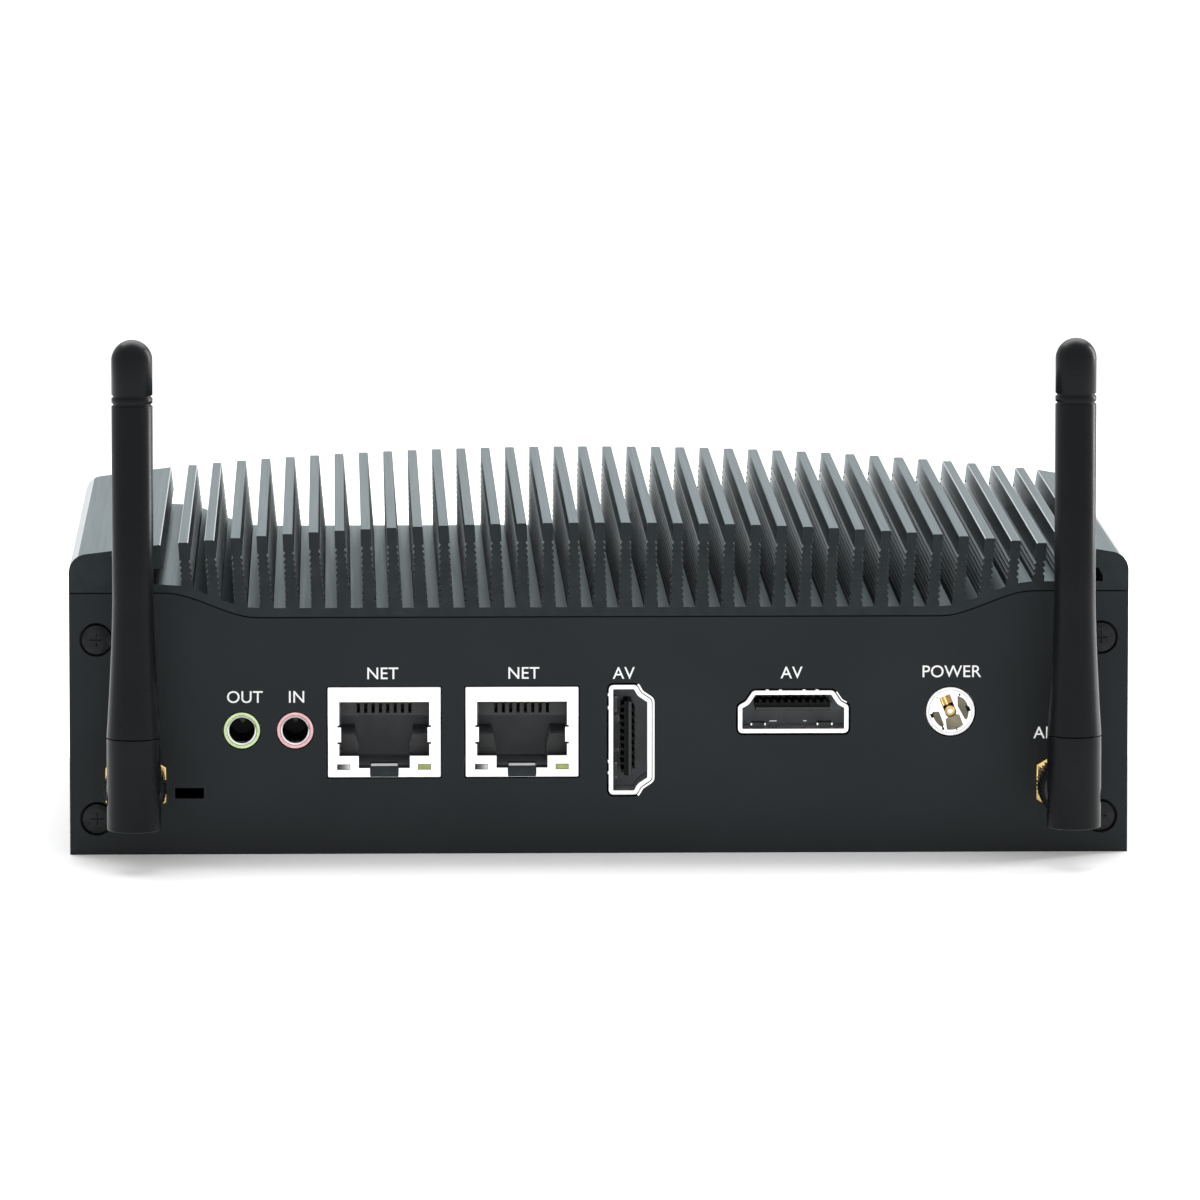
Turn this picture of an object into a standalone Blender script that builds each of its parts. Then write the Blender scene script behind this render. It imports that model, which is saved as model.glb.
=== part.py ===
"""Fanless mini PC with a finned lid, a rear row of ports and two folding antennas.

Sizes are in millimetres and become metres when a mesh is made. X runs to the right
as seen from the ports, +Y runs away from the port side, +Z is up, and the origin is
the centre of the underside.
"""

import math

import bmesh
import bpy
from mathutils import Vector

MM = 0.001
GAP = 0.3

# Case
HALF_WIDTH = 73.5
HALF_DEPTH = 53.5
WALL = 2.0
CROWN_TOP = 46.2
CROWN_RADIUS = 628.0
SEAM_EDGE = 36.55
SEAM_MIDDLE = 33.1
SEAM_WAVE = (47.3, 60.3)
WAVE_STEPS = 8

# Lid fins
FIN_COUNT = 35
FIN_FIRST = -57.65
FIN_PITCH = 3.609
FIN_TOP = 1.35
FIN_BASE = 2.04
LID_BASE = 1.15
SHOULDER_LEFT = 60.8
SHOULDER_RIGHT = 67.6
SHOULDER_ROUND = 2.6
SHOULDER_SLOPE = 0.35
UNDERCUT_TOP = 40.0
UNDERCUT_DEPTH = 2.5
CASE_POST = (66.0, 35.0)
BOARD_POST = (56.0, 41.0)
POST_RADIUS = 3.0

# Screws: head radius, head height, shank radius, whole length
PANEL_SCREW = (2.1, 1.1, 1.1, 9.0)
LID_SCREW = (2.6, 1.1, 1.2, 12.0)
BOARD_SCREW = (2.1, 1.0, 1.1, 6.0)
SCREW_CLEARANCE = 0.3
SCREW_STEPS = 12
PANEL_SCREW_X = 69.7
PANEL_SCREW_Z = (5.0, 30.0)

# Board
BOARD_BOTTOM = 23.7
BOARD_THICK = 1.6
BOARD_HALF_WIDTH = 59.0
BOARD_Y = (-50.5, 47.0)
PORT_TOP = BOARD_BOTTOM - GAP
PORT_FRONT = -HALF_DEPTH - 0.1

# Network sockets
LAN_X = {"left": -29.85, "right": -10.73}
LAN_WIDTH = 15.7
LAN_Z = (10.7, 23.3)
LAN_BACK = -32.6
LAN_WALL = 0.5
LAN_APERTURE = (12.5, 13.7, 21.25)
LAN_KEYWAY = (7.1, 12.0)
LAN_CAVITY_BACK = -39.0

# Display sockets: the narrow side, the shoulder and the wide side of the outline
HD_HALF_WIDE = 7.7
HD_HALF_SHOULDER = 6.6
HD_HALF_NARROW = 5.6
HD_HEIGHT = 6.0
HD_SHOULDER_DROP = 1.5
HD_WIDE_DROP = 2.1
HD_SHELL = 0.64
HD_BACK = -42.5
HD_FLAT = (26.95, 19.7)
HD_UPRIGHT = (4.3, 15.85)

# Round sockets: centre X, centre Z
SPEAKER = (-49.6, 17.3)
MICROPHONE = (-42.2, 17.3)
AUDIO_RADIUS = 2.5
AUDIO_BORE = 1.78
POWER_INLET = (48.8, 19.7)
POWER_RADIUS = 3.4
POWER_BORE = 2.5
POWER_PIN = 0.82
SLOT = (-58.9, -54.9, 7.8, 9.3)

# Antennas
ANTENNA_X = {"left": -64.3, "right": 64.9}
ANTENNA_Z = 10.0
PIVOT_Y = -70.0
FORK_RADIUS = 3.72
FORK_BOTTOM = 5.7
FORK_TOP = 18.2
SLEEVE_BOTTOM = FORK_TOP + GAP
SLEEVE_RADIUS = 2.84
SLEEVE_TAPER_TOP = 37.5
ANTENNA_TOP = 73.25
GROOVES = (64.4, 65.5)
GROOVE_HALF = 0.2
GROOVE_DEPTH = 0.2
TONGUE_HALF = 1.3
TONGUE_RADIUS = 2.6
PIN_RADIUS = 0.9
THREAD_RADIUS = 3.175
NUT_RADIUS = 4.3
NUT_Y = (-62.3, -56.1)

# Front side
USB_X = (-23.5, -3.5)
USB_WIDTH = 13.1
USB_HEIGHT = 15.6
USB_BACK = 36.7
BUTTON = (50.0, 13.0)
BUTTON_RADIUS = 4.0
LIGHT = (41.0, 13.0)
LIGHT_RADIUS = 1.5

# Finish: colour, metallic, roughness
FINISHES = {
    "anodised": ((0.022, 0.025, 0.028), 0.6, 0.45),
    "black_steel": ((0.012, 0.012, 0.013), 0.7, 0.4),
    "steel": ((0.75, 0.75, 0.76), 1.0, 0.25),
    "gold": ((0.75, 0.55, 0.22), 1.0, 0.25),
    "aluminium": ((0.7, 0.71, 0.72), 1.0, 0.35),
    "black_plastic": ((0.015, 0.015, 0.016), 0.0, 0.5),
    "white_plastic": ((0.85, 0.85, 0.84), 0.0, 0.4),
    "green_plastic": ((0.55, 0.72, 0.35), 0.0, 0.4),
    "pink_plastic": ((0.8, 0.45, 0.48), 0.0, 0.4),
    "antenna_rubber": ((0.012, 0.012, 0.013), 0.0, 0.55),
    "circuit_board": ((0.02, 0.08, 0.04), 0.0, 0.45),
    "chip": ((0.02, 0.02, 0.02), 0.0, 0.4),
    "clear_plastic": ((0.3, 0.5, 0.8), 0.0, 0.2),
}


def clear_scene():
    for obj in list(bpy.data.objects):
        bpy.data.objects.remove(obj, do_unlink=True)


def across(axis, a, b, along):
    """A point from its two places across an axis and its place along it."""
    if axis == "X":
        return Vector((along, a, b))
    if axis == "Y":
        return Vector((a, along, b))
    return Vector((a, b, along))


def prism(bm, outline, low, high, axis="Y"):
    """Adds a flat outline pulled along an axis from low to high."""
    corners = [bm.verts.new(across(axis, a, b, low)) for a, b in outline]
    face = bm.faces.new(corners)
    grown = bmesh.ops.extrude_face_region(bm, geom=[face])["geom"]
    moved = [item for item in grown if isinstance(item, bmesh.types.BMVert)]
    bmesh.ops.translate(bm, verts=moved, vec=across(axis, 0, 0, high - low))


def box(bm, low, high):
    """Adds a box between two corners."""
    outline = rectangle(low[0], high[0], low[1], high[1])
    prism(bm, outline, low[2], high[2], "Z")


def rectangle(a0, a1, b0, b1):
    return [(a0, b0), (a1, b0), (a1, b1), (a0, b1)]


def circle(centre, radius, steps, start=0.0):
    turn = 2 * math.pi / steps
    angles = [start + turn * step for step in range(steps)]
    return [(centre[0] + radius * math.cos(t), centre[1] + radius * math.sin(t)) for t in angles]


def arc(centre, radius, start_deg, end_deg, steps):
    span = math.radians(end_deg - start_deg)
    angles = [math.radians(start_deg) + span * step / steps for step in range(steps + 1)]
    return [(centre[0] + radius * math.cos(t), centre[1] + radius * math.sin(t)) for t in angles]


def turned(bm, profile, centre, axis="Y", steps=24, closed=False):
    """Adds a profile of (place along the axis, radius) points turned round the axis.

    An open profile starts and ends on the axis. A closed one is a ring's section.
    """
    rings = []
    for along, radius in profile:
        if radius == 0:
            rings.append([bm.verts.new(across(axis, centre[0], centre[1], along))])
            continue
        points = circle(centre, radius, steps)
        rings.append([bm.verts.new(across(axis, a, b, along)) for a, b in points])
    pairs = list(zip(rings, rings[1:]))
    if closed:
        pairs.append((rings[-1], rings[0]))
    for first, second in pairs:
        for step in range(steps):
            after = (step + 1) % steps
            ends = [first[step % len(first)], first[after % len(first)]]
            ends += [second[after % len(second)], second[step % len(second)]]
            bm.faces.new(list(dict.fromkeys(ends)))


def mesh_from(name, bm):
    """The mesh of a bmesh in millimetres, in metres, with its faces pointing out."""
    bmesh.ops.scale(bm, vec=(MM, MM, MM), verts=bm.verts)
    bmesh.ops.recalc_face_normals(bm, faces=bm.faces)
    mesh = bpy.data.meshes.new(name)
    bm.to_mesh(mesh)
    bm.free()
    return mesh


def add_object(name, mesh):
    obj = bpy.data.objects.new(name, mesh)
    bpy.context.scene.collection.objects.link(obj)
    return obj


def give_finish(mesh, name, finish):
    """Gives a mesh a Principled material of its own."""
    color, metallic, roughness = FINISHES[finish]
    made = bpy.data.materials.new(name)
    made.use_nodes = True
    shader = made.node_tree.nodes["Principled BSDF"]
    shader.inputs["Base Color"].default_value = (*color, 1.0)
    shader.inputs["Metallic"].default_value = metallic
    shader.inputs["Roughness"].default_value = roughness
    made.diffuse_color = (*color, 1.0)
    mesh.materials.append(made)


def piece(name, bm, finish, smooth=False):
    """One sub-part: an object of its own with a material of its own."""
    obj = add_object(name, mesh_from(name, bm))
    give_finish(obj.data, name, finish)
    if smooth:
        obj.data.shade_smooth()
        obj.data.set_sharp_from_angle(angle=math.radians(35))
    return obj


def boolean(obj, bm, operation, word=""):
    """Cuts the shapes in bm from an object, or joins them to it."""
    word = word or operation.lower()
    name = f"{obj.name}_{word}"
    tool = add_object(name, mesh_from(name, bm))
    tool.hide_render = True
    tool.display_type = "WIRE"
    modifier = obj.modifiers.new(word, "BOOLEAN")
    modifier.operation = operation
    modifier.solver = "EXACT"
    modifier.object = tool


def smoothstep(value):
    value = min(max(value, 0.0), 1.0)
    return value * value * (3 - 2 * value)


def seam_z(x):
    """Height of the seam between the lid and the end panels."""
    start, end = SEAM_WAVE
    rise = smoothstep((abs(x) - start) / (end - start))
    return SEAM_MIDDLE + (SEAM_EDGE - SEAM_MIDDLE) * rise


def floor_z(x):
    """Height of the valley floors between the fins."""
    return seam_z(x) + GAP / 2 + LID_BASE


def crown_z(x):
    """Height of the shallow arc that the fin tops follow."""
    return CROWN_TOP - CROWN_RADIUS + math.sqrt(CROWN_RADIUS**2 - x * x)


def seam_points(offset):
    """The seam from left to right, moved up by offset."""
    start, end = SEAM_WAVE
    half = [start + (end - start) * step / WAVE_STEPS for step in range(WAVE_STEPS + 1)]
    places = [-HALF_WIDTH, *[-x for x in reversed(half)], *half, HALF_WIDTH]
    return [(x, seam_z(x) + offset) for x in places]


def fin_points(index):
    """One fin, square to the crown: left foot, two top corners, right foot."""
    middle = FIN_FIRST + FIN_PITCH * index
    lean = math.asin(middle / CROWN_RADIUS)
    points = []
    for side in (-1, 1):
        top_x = middle + side * FIN_TOP / 2
        top_z = crown_z(middle)
        foot_x = top_x
        foot_z = top_z
        for _ in range(3):
            foot_z = floor_z(foot_x)
            height = top_z - foot_z
            flare = (FIN_BASE - FIN_TOP) / 2 * height / (CROWN_TOP - SEAM_MIDDLE)
            foot_x = top_x - height * math.tan(lean) + side * flare
        points.append(((foot_x, foot_z), (top_x, top_z)))
    (left_foot, left_top), (right_foot, right_top) = points
    return [left_foot, left_top, right_top, right_foot]


def shoulder_points(side, inner):
    """One solid edge of the lid, from its outer rounding to the undercut valley."""
    corner = (HALF_WIDTH - SHOULDER_ROUND, crown_z(HALF_WIDTH) - SHOULDER_ROUND + 0.1)
    points = arc(corner, SHOULDER_ROUND, 0, 80, 4)
    deep = inner + UNDERCUT_DEPTH
    points += [(inner, crown_z(inner)), (inner - SHOULDER_SLOPE, UNDERCUT_TOP)]
    points += [(deep - 0.5, UNDERCUT_TOP - 0.4), (deep + 0.1, floor_z(inner))]
    return [(side * x, z) for x, z in points]


def lid_outline():
    """The lid's section, which runs along the whole depth."""
    outline = seam_points(GAP / 2)
    outline += shoulder_points(1, SHOULDER_RIGHT)
    for index in reversed(range(FIN_COUNT)):
        outline += reversed(fin_points(index))
    outline += reversed(shoulder_points(-1, SHOULDER_LEFT))
    return outline


def corners(place):
    """The four corners that a place at +X +Y stands for."""
    x, y = place
    return [(side_x * x, side_y * y) for side_y in (-1, 1) for side_x in (-1, 1)]


def heatsink_lid():
    bm = bmesh.new()
    prism(bm, lid_outline(), -HALF_DEPTH, HALF_DEPTH)
    lid = piece("heatsink_lid", bm, "anodised")
    posts = bmesh.new()
    into_lid = 0.8
    board_top = BOARD_BOTTOM + BOARD_THICK + GAP
    for place in corners(CASE_POST):
        prism(posts, circle(place, POST_RADIUS, 12), WALL + GAP, SEAM_EDGE + into_lid, "Z")
    for place in corners(BOARD_POST):
        top = seam_z(BOARD_POST[0] - POST_RADIUS) + into_lid
        prism(posts, circle(place, POST_RADIUS, 12), board_top, top, "Z")
    boolean(lid, posts, "UNION")
    holes = bmesh.new()
    radius = LID_SCREW[2] + SCREW_CLEARANCE
    for place in corners(CASE_POST):
        prism(holes, circle(place, radius, 12), 0, LID_SCREW[3] + 2, "Z")
    for place in corners(BOARD_POST):
        prism(holes, circle(place, radius, 12), BOARD_BOTTOM, board_top + 5, "Z")
    boolean(lid, holes, "DIFFERENCE")


def chassis_tray():
    """The base and side walls, with lugs that take the end panels' screws."""
    top = SEAM_EDGE - GAP / 2
    inner = HALF_WIDTH - WALL
    end = HALF_DEPTH - WALL - GAP
    outline = [(-HALF_WIDTH, 0), (HALF_WIDTH, 0), (HALF_WIDTH, top), (inner, top)]
    outline += [(inner, WALL), (-inner, WALL), (-inner, top), (-HALF_WIDTH, top)]
    bm = bmesh.new()
    prism(bm, outline, -end, end)
    tray = piece("chassis_tray", bm, "anodised")
    lug_length = 12.0
    lug_half = 2.2
    lug_inner = 67.6
    into_wall = 1.0
    lugs = bmesh.new()
    holes = bmesh.new()
    hole_radius = PANEL_SCREW[2] + SCREW_CLEARANCE
    for side_y in (-1, 1):
        span = sorted((side_y * (end + 1), side_y * (end - lug_length + 1)))
        lug_span = sorted((side_y * end, side_y * (end - lug_length)))
        for side_x in (-1, 1):
            edges = sorted((side_x * lug_inner, side_x * (inner + into_wall)))
            for z in PANEL_SCREW_Z:
                bottom = WALL - into_wall if z < PANEL_SCREW_Z[1] else z - lug_half
                box(lugs, (edges[0], lug_span[0], bottom), (edges[1], lug_span[1], z + lug_half))
                centre = (side_x * PANEL_SCREW_X, z)
                prism(holes, circle(centre, hole_radius, 12), *span)
    for place in corners(CASE_POST):
        head = LID_SCREW[0] + SCREW_CLEARANCE
        shank = LID_SCREW[2] + SCREW_CLEARANCE
        seat = LID_SCREW[1] + GAP
        profile = [(-1, 0), (-1, head), (seat, head), (seat, shank), (WALL + 1, shank), (WALL + 1, 0)]
        turned(holes, profile, place, "Z", SCREW_STEPS)
    boolean(tray, lugs, "UNION")
    boolean(tray, holes, "DIFFERENCE")


def panel_outline():
    return [(-HALF_WIDTH, 0), (HALF_WIDTH, 0), *reversed(seam_points(-GAP / 2))]


def panel_screw_holes(bm, outer_y, inward):
    """Stepped holes for the four screws at a panel's corners."""
    head = PANEL_SCREW[0] + 0.25
    shank = PANEL_SCREW[2] + SCREW_CLEARANCE
    seat = outer_y + inward * (PANEL_SCREW[1] + GAP)
    start = outer_y - inward
    end = outer_y + inward * (WALL + 1)
    profile = [(start, 0), (start, head), (seat, head), (seat, shank), (end, shank), (end, 0)]
    for side in (-1, 1):
        for z in PANEL_SCREW_Z:
            turned(bm, profile, (side * PANEL_SCREW_X, z), "Y", SCREW_STEPS)


def hd_outline(half_turned, grow):
    """A display socket's outline about its centre, grown by a distance."""
    top = HD_HEIGHT / 2 + grow
    bottom = -HD_HEIGHT / 2 - grow
    half = [(HD_HALF_NARROW + grow / 2, top)]
    half += [(HD_HALF_SHOULDER + grow / 2, HD_HEIGHT / 2 - HD_SHOULDER_DROP + grow / 2)]
    half += [(HD_HALF_WIDE + grow, HD_HEIGHT / 2 - HD_WIDE_DROP + grow / 2)]
    half += [(HD_HALF_WIDE + grow, bottom)]
    outline = half + [(-x, z) for x, z in reversed(half)]
    if half_turned:
        return [(z + HD_UPRIGHT[0], -x + HD_UPRIGHT[1]) for x, z in outline]
    return [(x + HD_FLAT[0], z + HD_FLAT[1]) for x, z in outline]


def rear_panel():
    bm = bmesh.new()
    prism(bm, panel_outline(), -HALF_DEPTH, -HALF_DEPTH + WALL)
    panel = piece("rear_panel", bm, "anodised")
    cut = bmesh.new()
    span = (-HALF_DEPTH - 1, -HALF_DEPTH + WALL + 1)
    panel_screw_holes(cut, -HALF_DEPTH, 1)
    for x in LAN_X.values():
        half = LAN_WIDTH / 2 + GAP
        prism(cut, rectangle(x - half, x + half, LAN_Z[0] - GAP, LAN_Z[1] + GAP), *span)
    for upright in (True, False):
        prism(cut, hd_outline(upright, GAP), *span)
    for centre, radius in ((SPEAKER, AUDIO_RADIUS), (MICROPHONE, AUDIO_RADIUS)):
        prism(cut, circle(centre, radius + GAP, 24), *span)
    prism(cut, circle(POWER_INLET, POWER_RADIUS + GAP, 24), *span)
    for x in ANTENNA_X.values():
        prism(cut, circle((x, ANTENNA_Z), THREAD_RADIUS + GAP, 20), *span)
    prism(cut, rectangle(*SLOT), *span)
    boolean(panel, cut, "DIFFERENCE")


def front_panel():
    bm = bmesh.new()
    prism(bm, panel_outline(), HALF_DEPTH - WALL, HALF_DEPTH)
    panel = piece("front_panel", bm, "anodised")
    cut = bmesh.new()
    span = (HALF_DEPTH - WALL - 1, HALF_DEPTH + 1)
    panel_screw_holes(cut, HALF_DEPTH, -1)
    for x in USB_X:
        half = USB_WIDTH / 2 + GAP
        low = PORT_TOP - USB_HEIGHT - GAP
        prism(cut, rectangle(x - half, x + half, low, PORT_TOP + GAP), *span)
    prism(cut, circle(BUTTON, BUTTON_RADIUS + GAP, 24), *span)
    prism(cut, circle(LIGHT, LIGHT_RADIUS + GAP, 16), *span)
    boolean(panel, cut, "DIFFERENCE")


def screw_mesh(name, sizes, finish):
    """A cross-head screw along -Z with the top of its head at the origin."""
    head_radius, head_height, shank_radius, length = sizes
    profile = [(0, 0), (0, head_radius), (-head_height, head_radius)]
    profile += [(-head_height, shank_radius), (-length, shank_radius), (-length, 0)]
    bm = bmesh.new()
    turned(bm, profile, (0, 0), "Z", SCREW_STEPS)
    screw = piece(name, bm, finish)
    arm = 1.15
    half = 0.2
    cross = [(half, half), (arm, half), (arm, -half), (half, -half), (half, -arm), (-half, -arm)]
    cross += [(-x, -z) for x, z in cross]
    recess = bmesh.new()
    prism(recess, cross, -0.6, 1, "Z")
    boolean(screw, recess, "DIFFERENCE")
    graph = bpy.context.evaluated_depsgraph_get()
    mesh = bpy.data.meshes.new_from_object(screw.evaluated_get(graph), depsgraph=graph)
    tool = screw.modifiers[0].object
    bpy.data.objects.remove(screw)
    bpy.data.objects.remove(tool)
    return mesh


def screws(prefix, sizes, finish, places, rotation):
    """Numbered screws that share one mesh."""
    mesh = screw_mesh(f"{prefix}_mesh", sizes, finish)
    for number, place in enumerate(places, 1):
        screw = add_object(f"{prefix}_{number}", mesh)
        screw.location = Vector(place) * MM
        screw.rotation_euler = rotation


def all_screws():
    flush = 0.05
    ends = [(side * PANEL_SCREW_X, z) for z in PANEL_SCREW_Z for side in (-1, 1)]
    rear = [(x, -HALF_DEPTH + flush, z) for x, z in ends]
    front = [(x, HALF_DEPTH - flush, z) for x, z in ends]
    under = [(x, y, flush) for x, y in corners(CASE_POST)]
    head_face = BOARD_BOTTOM - GAP - BOARD_SCREW[1]
    board = [(x, y, head_face) for x, y in corners(BOARD_POST)]
    quarter = math.pi / 2
    screws("rear_screw", PANEL_SCREW, "black_steel", rear, (quarter, 0, 0))
    screws("front_screw", PANEL_SCREW, "black_steel", front, (-quarter, 0, 0))
    screws("lid_screw", LID_SCREW, "black_steel", under, (math.pi, 0, 0))
    screws("board_screw", BOARD_SCREW, "steel", board, (math.pi, 0, 0))


def mainboard():
    """The board, with the sockets soldered to its underside."""
    top = BOARD_BOTTOM + BOARD_THICK
    bm = bmesh.new()
    box(bm, (-BOARD_HALF_WIDTH, BOARD_Y[0], BOARD_BOTTOM), (BOARD_HALF_WIDTH, BOARD_Y[1], top))
    board = piece("mainboard", bm, "circuit_board")
    sockets = bmesh.new()
    into = BOARD_BOTTOM + 0.5
    box(sockets, (-52, 32.3, 18.5), (18, 36, into))
    box(sockets, (-31, -31.8, 19.6), (-7, -30.3, into))
    box(sockets, (24, 42.3, 19), (46, 43.2, into))
    box(sockets, (-50, 8, 24.5), (-26, 12, 27.5))
    boolean(board, sockets, "UNION")
    holes = bmesh.new()
    radius = BOARD_SCREW[2] + SCREW_CLEARANCE
    for place in corners(BOARD_POST):
        prism(holes, circle(place, radius, 12), BOARD_BOTTOM - 1, top + 1, "Z")
    boolean(board, holes, "DIFFERENCE")


def on_board():
    """The pieces that plug into the board or sit on it."""
    top = BOARD_BOTTOM + BOARD_THICK + GAP
    bm = bmesh.new()
    box(bm, (-14, -12, top), (14, 16, top + 1.4))
    piece("processor", bm, "chip")
    bm = bmesh.new()
    box(bm, (-22, -20, top + 1.4 + GAP), (22, 24, SEAM_MIDDLE - GAP))
    piece("heat_spreader", bm, "aluminium")
    bm = bmesh.new()
    prism(bm, circle((-38, 24), 10, 24), top + 0.4, top + 3.6, "Z")
    piece("coin_cell", bm, "steel", smooth=True)
    card_piece("memory_module", (-51.8, 2, 20.2), (17.8, 32, 21.2), 8)
    card_piece("storage_module", (24, -38, 20.2), (46, 42, 21.2), 5)
    card_piece("wireless_card", (-30, -30, 20.2), (-8, 0, 21.2), 1)


def card_piece(name, low, high, chips):
    """A thin card with a row of packages on its underside along its longer side."""
    bm = bmesh.new()
    box(bm, low, high)
    card = piece(name, bm, "circuit_board")
    margin = 2.5
    space = 1.6
    along = 0 if high[0] - low[0] > high[1] - low[1] else 1
    step = (high[along] - low[along] - 2 * margin + space) / chips
    packages = bmesh.new()
    for index in range(chips):
        first = [low[0] + margin, low[1] + margin, low[2] - 1.0]
        last = [high[0] - margin, high[1] - margin, low[2] + 0.4]
        first[along] = low[along] + margin + step * index
        last[along] = first[along] + step - space
        box(packages, first, last)
    boolean(card, packages, "UNION")


def lan_aperture(x, grow):
    """The plug opening: a wide mouth with a keyway below it."""
    half, low, high = LAN_APERTURE[0] / 2 + grow, LAN_APERTURE[1] - grow, LAN_APERTURE[2] + grow
    key_half, key_low = LAN_KEYWAY[0] / 2 + grow, LAN_KEYWAY[1] - grow
    points = [(x - half, low), (x - key_half, low), (x - key_half, key_low)]
    points += [(x + key_half, key_low), (x + key_half, low), (x + half, low)]
    return points + [(x + half, high), (x - half, high)]


def lan_sockets():
    front = PORT_FRONT
    for side, x in LAN_X.items():
        half = LAN_WIDTH / 2
        low, high = LAN_Z
        bm = bmesh.new()
        box(bm, (x - half, front, low), (x + half, LAN_BACK, high))
        shield = piece(f"lan_shield_{side}", bm, "steel")
        inner = half - LAN_WALL
        hollow = bmesh.new()
        box(
            hollow,
            (x - inner, front + LAN_WALL, low + LAN_WALL),
            (x + inner, LAN_BACK - LAN_WALL, high - LAN_WALL),
        )
        boolean(shield, hollow, "DIFFERENCE")
        mouth = bmesh.new()
        prism(mouth, lan_aperture(x, 0), front - 1, front + 1)
        boolean(shield, mouth, "DIFFERENCE", "mouth")
        lan_insert(side, x)


def lan_insert(side, x):
    """The plastic body inside a shield, with the plug's cavity in it."""
    shrink = LAN_WALL + GAP
    half = LAN_WIDTH / 2 - shrink
    front = PORT_FRONT + shrink
    bm = bmesh.new()
    box(bm, (x - half, front, LAN_Z[0] + shrink), (x + half, LAN_BACK - shrink, LAN_Z[1] - shrink))
    insert = piece(f"lan_insert_{side}", bm, "black_plastic")
    cavity = bmesh.new()
    prism(cavity, lan_aperture(x, 0), front - 1, LAN_CAVITY_BACK)
    boolean(insert, cavity, "DIFFERENCE")


def hd_sockets():
    for name, upright in (("upright", True), ("flat", False)):
        bm = bmesh.new()
        prism(bm, hd_outline(upright, 0), PORT_FRONT, HD_BACK)
        shell = piece(f"hd_shell_{name}", bm, "steel")
        cut = bmesh.new()
        prism(cut, hd_outline(upright, -HD_SHELL), PORT_FRONT - 1, HD_BACK + 1)
        boolean(shell, cut, "DIFFERENCE")
        back = bmesh.new()
        prism(back, hd_outline(upright, -HD_SHELL - GAP), HD_BACK - 4, HD_BACK - 0.5)
        insert = piece(f"hd_insert_{name}", back, "black_plastic")
        tongue = bmesh.new()
        prism(tongue, tongue_outline(upright), PORT_FRONT + 1.2, HD_BACK - 3.5)
        boolean(insert, tongue, "UNION")


def tongue_outline(upright):
    """The contact tongue, nearer to the narrow side."""
    half = 5.3
    low, high = 0.1, 1.3
    if upright:
        x, z = HD_UPRIGHT
        return rectangle(x + low - 0.8, x + high - 0.8, z - half, z + half)
    x, z = HD_FLAT
    return rectangle(x - half, x + half, z + low, z + high)


def round_socket(name, centre, radius, bore, half_width, depth, finish):
    """A moulded body under the board with a round nose through the panel."""
    body_front = -HALF_DEPTH + WALL + GAP
    nose = bmesh.new()
    prism(nose, circle(centre, radius, 24), PORT_FRONT, body_front + 1)
    socket = piece(name, nose, finish)
    body = bmesh.new()
    low = centre[1] - half_width
    box(body, (centre[0] - half_width, body_front, low), (centre[0] + half_width, depth, PORT_TOP))
    boolean(socket, body, "UNION")
    cut = bmesh.new()
    prism(cut, circle(centre, bore, 24), PORT_FRONT - 1, depth - 1.5)
    boolean(socket, cut, "DIFFERENCE")


def round_sockets():
    round_socket("speaker_jack", SPEAKER, AUDIO_RADIUS, AUDIO_BORE, 3.2, -39.5, "green_plastic")
    round_socket("microphone_jack", MICROPHONE, AUDIO_RADIUS, AUDIO_BORE, 3.2, -39.5, "pink_plastic")
    back = -41.0
    round_socket("power_inlet", POWER_INLET, POWER_RADIUS, POWER_BORE, 3.7, back, "white_plastic")
    pin_back = back - 1.5 - GAP
    tip = PORT_FRONT + 1.0
    bm = bmesh.new()
    profile = [(tip, 0), (tip, 0.5), (tip + 0.4, POWER_PIN), (pin_back, POWER_PIN), (pin_back, 0)]
    turned(bm, profile, POWER_INLET, "Y", 16)
    piece("power_pin", bm, "gold", smooth=True)


def panel_connector(side, x):
    """The threaded socket that goes through the panel, and its hex nut."""
    inner_face = -HALF_DEPTH + WALL + GAP
    thread_end = -59.4
    profile = [(thread_end, 0), (thread_end, THREAD_RADIUS), (inner_face, THREAD_RADIUS)]
    profile += [(inner_face, 3.8), (inner_face + 2, 3.8), (inner_face + 2, 1.6)]
    profile += [(-44.5, 1.6), (-44.5, 0)]
    bm = bmesh.new()
    turned(bm, profile, (x, ANTENNA_Z))
    connector = piece(f"antenna_connector_{side}", bm, "gold", smooth=True)
    socket = bmesh.new()
    prism(socket, circle((x, ANTENNA_Z), 2.3, 16), thread_end - 1, thread_end + 3)
    boolean(connector, socket, "DIFFERENCE")
    across_flats = 8.5
    corner = across_flats / math.sqrt(3)
    bm = bmesh.new()
    start = -HALF_DEPTH - GAP - 1.9
    prism(bm, circle((x, ANTENNA_Z), corner, 6, math.pi / 6), start, -HALF_DEPTH - GAP)
    nut = piece(f"antenna_hex_nut_{side}", bm, "gold")
    bore = bmesh.new()
    radius = THREAD_RADIUS + GAP
    prism(bore, circle((x, ANTENNA_Z), radius, 24), start - 1, -HALF_DEPTH)
    boolean(nut, bore, "DIFFERENCE")


def coupling_nut(side, x):
    """The hand nut that draws the antenna on to the threaded socket."""
    front, back = NUT_Y
    bore = THREAD_RADIUS + GAP
    neck = 2.5
    chamfer = 0.3
    lip = front + 1.0
    profile = [(front, neck), (front, NUT_RADIUS - chamfer), (front + chamfer, NUT_RADIUS)]
    profile += [(back - chamfer, NUT_RADIUS), (back, NUT_RADIUS - chamfer)]
    profile += [(back, bore), (lip, bore), (lip, neck)]
    bm = bmesh.new()
    turned(bm, profile, (x, ANTENNA_Z), closed=True)
    piece(f"coupling_nut_{side}", bm, "black_steel", smooth=True)


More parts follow.
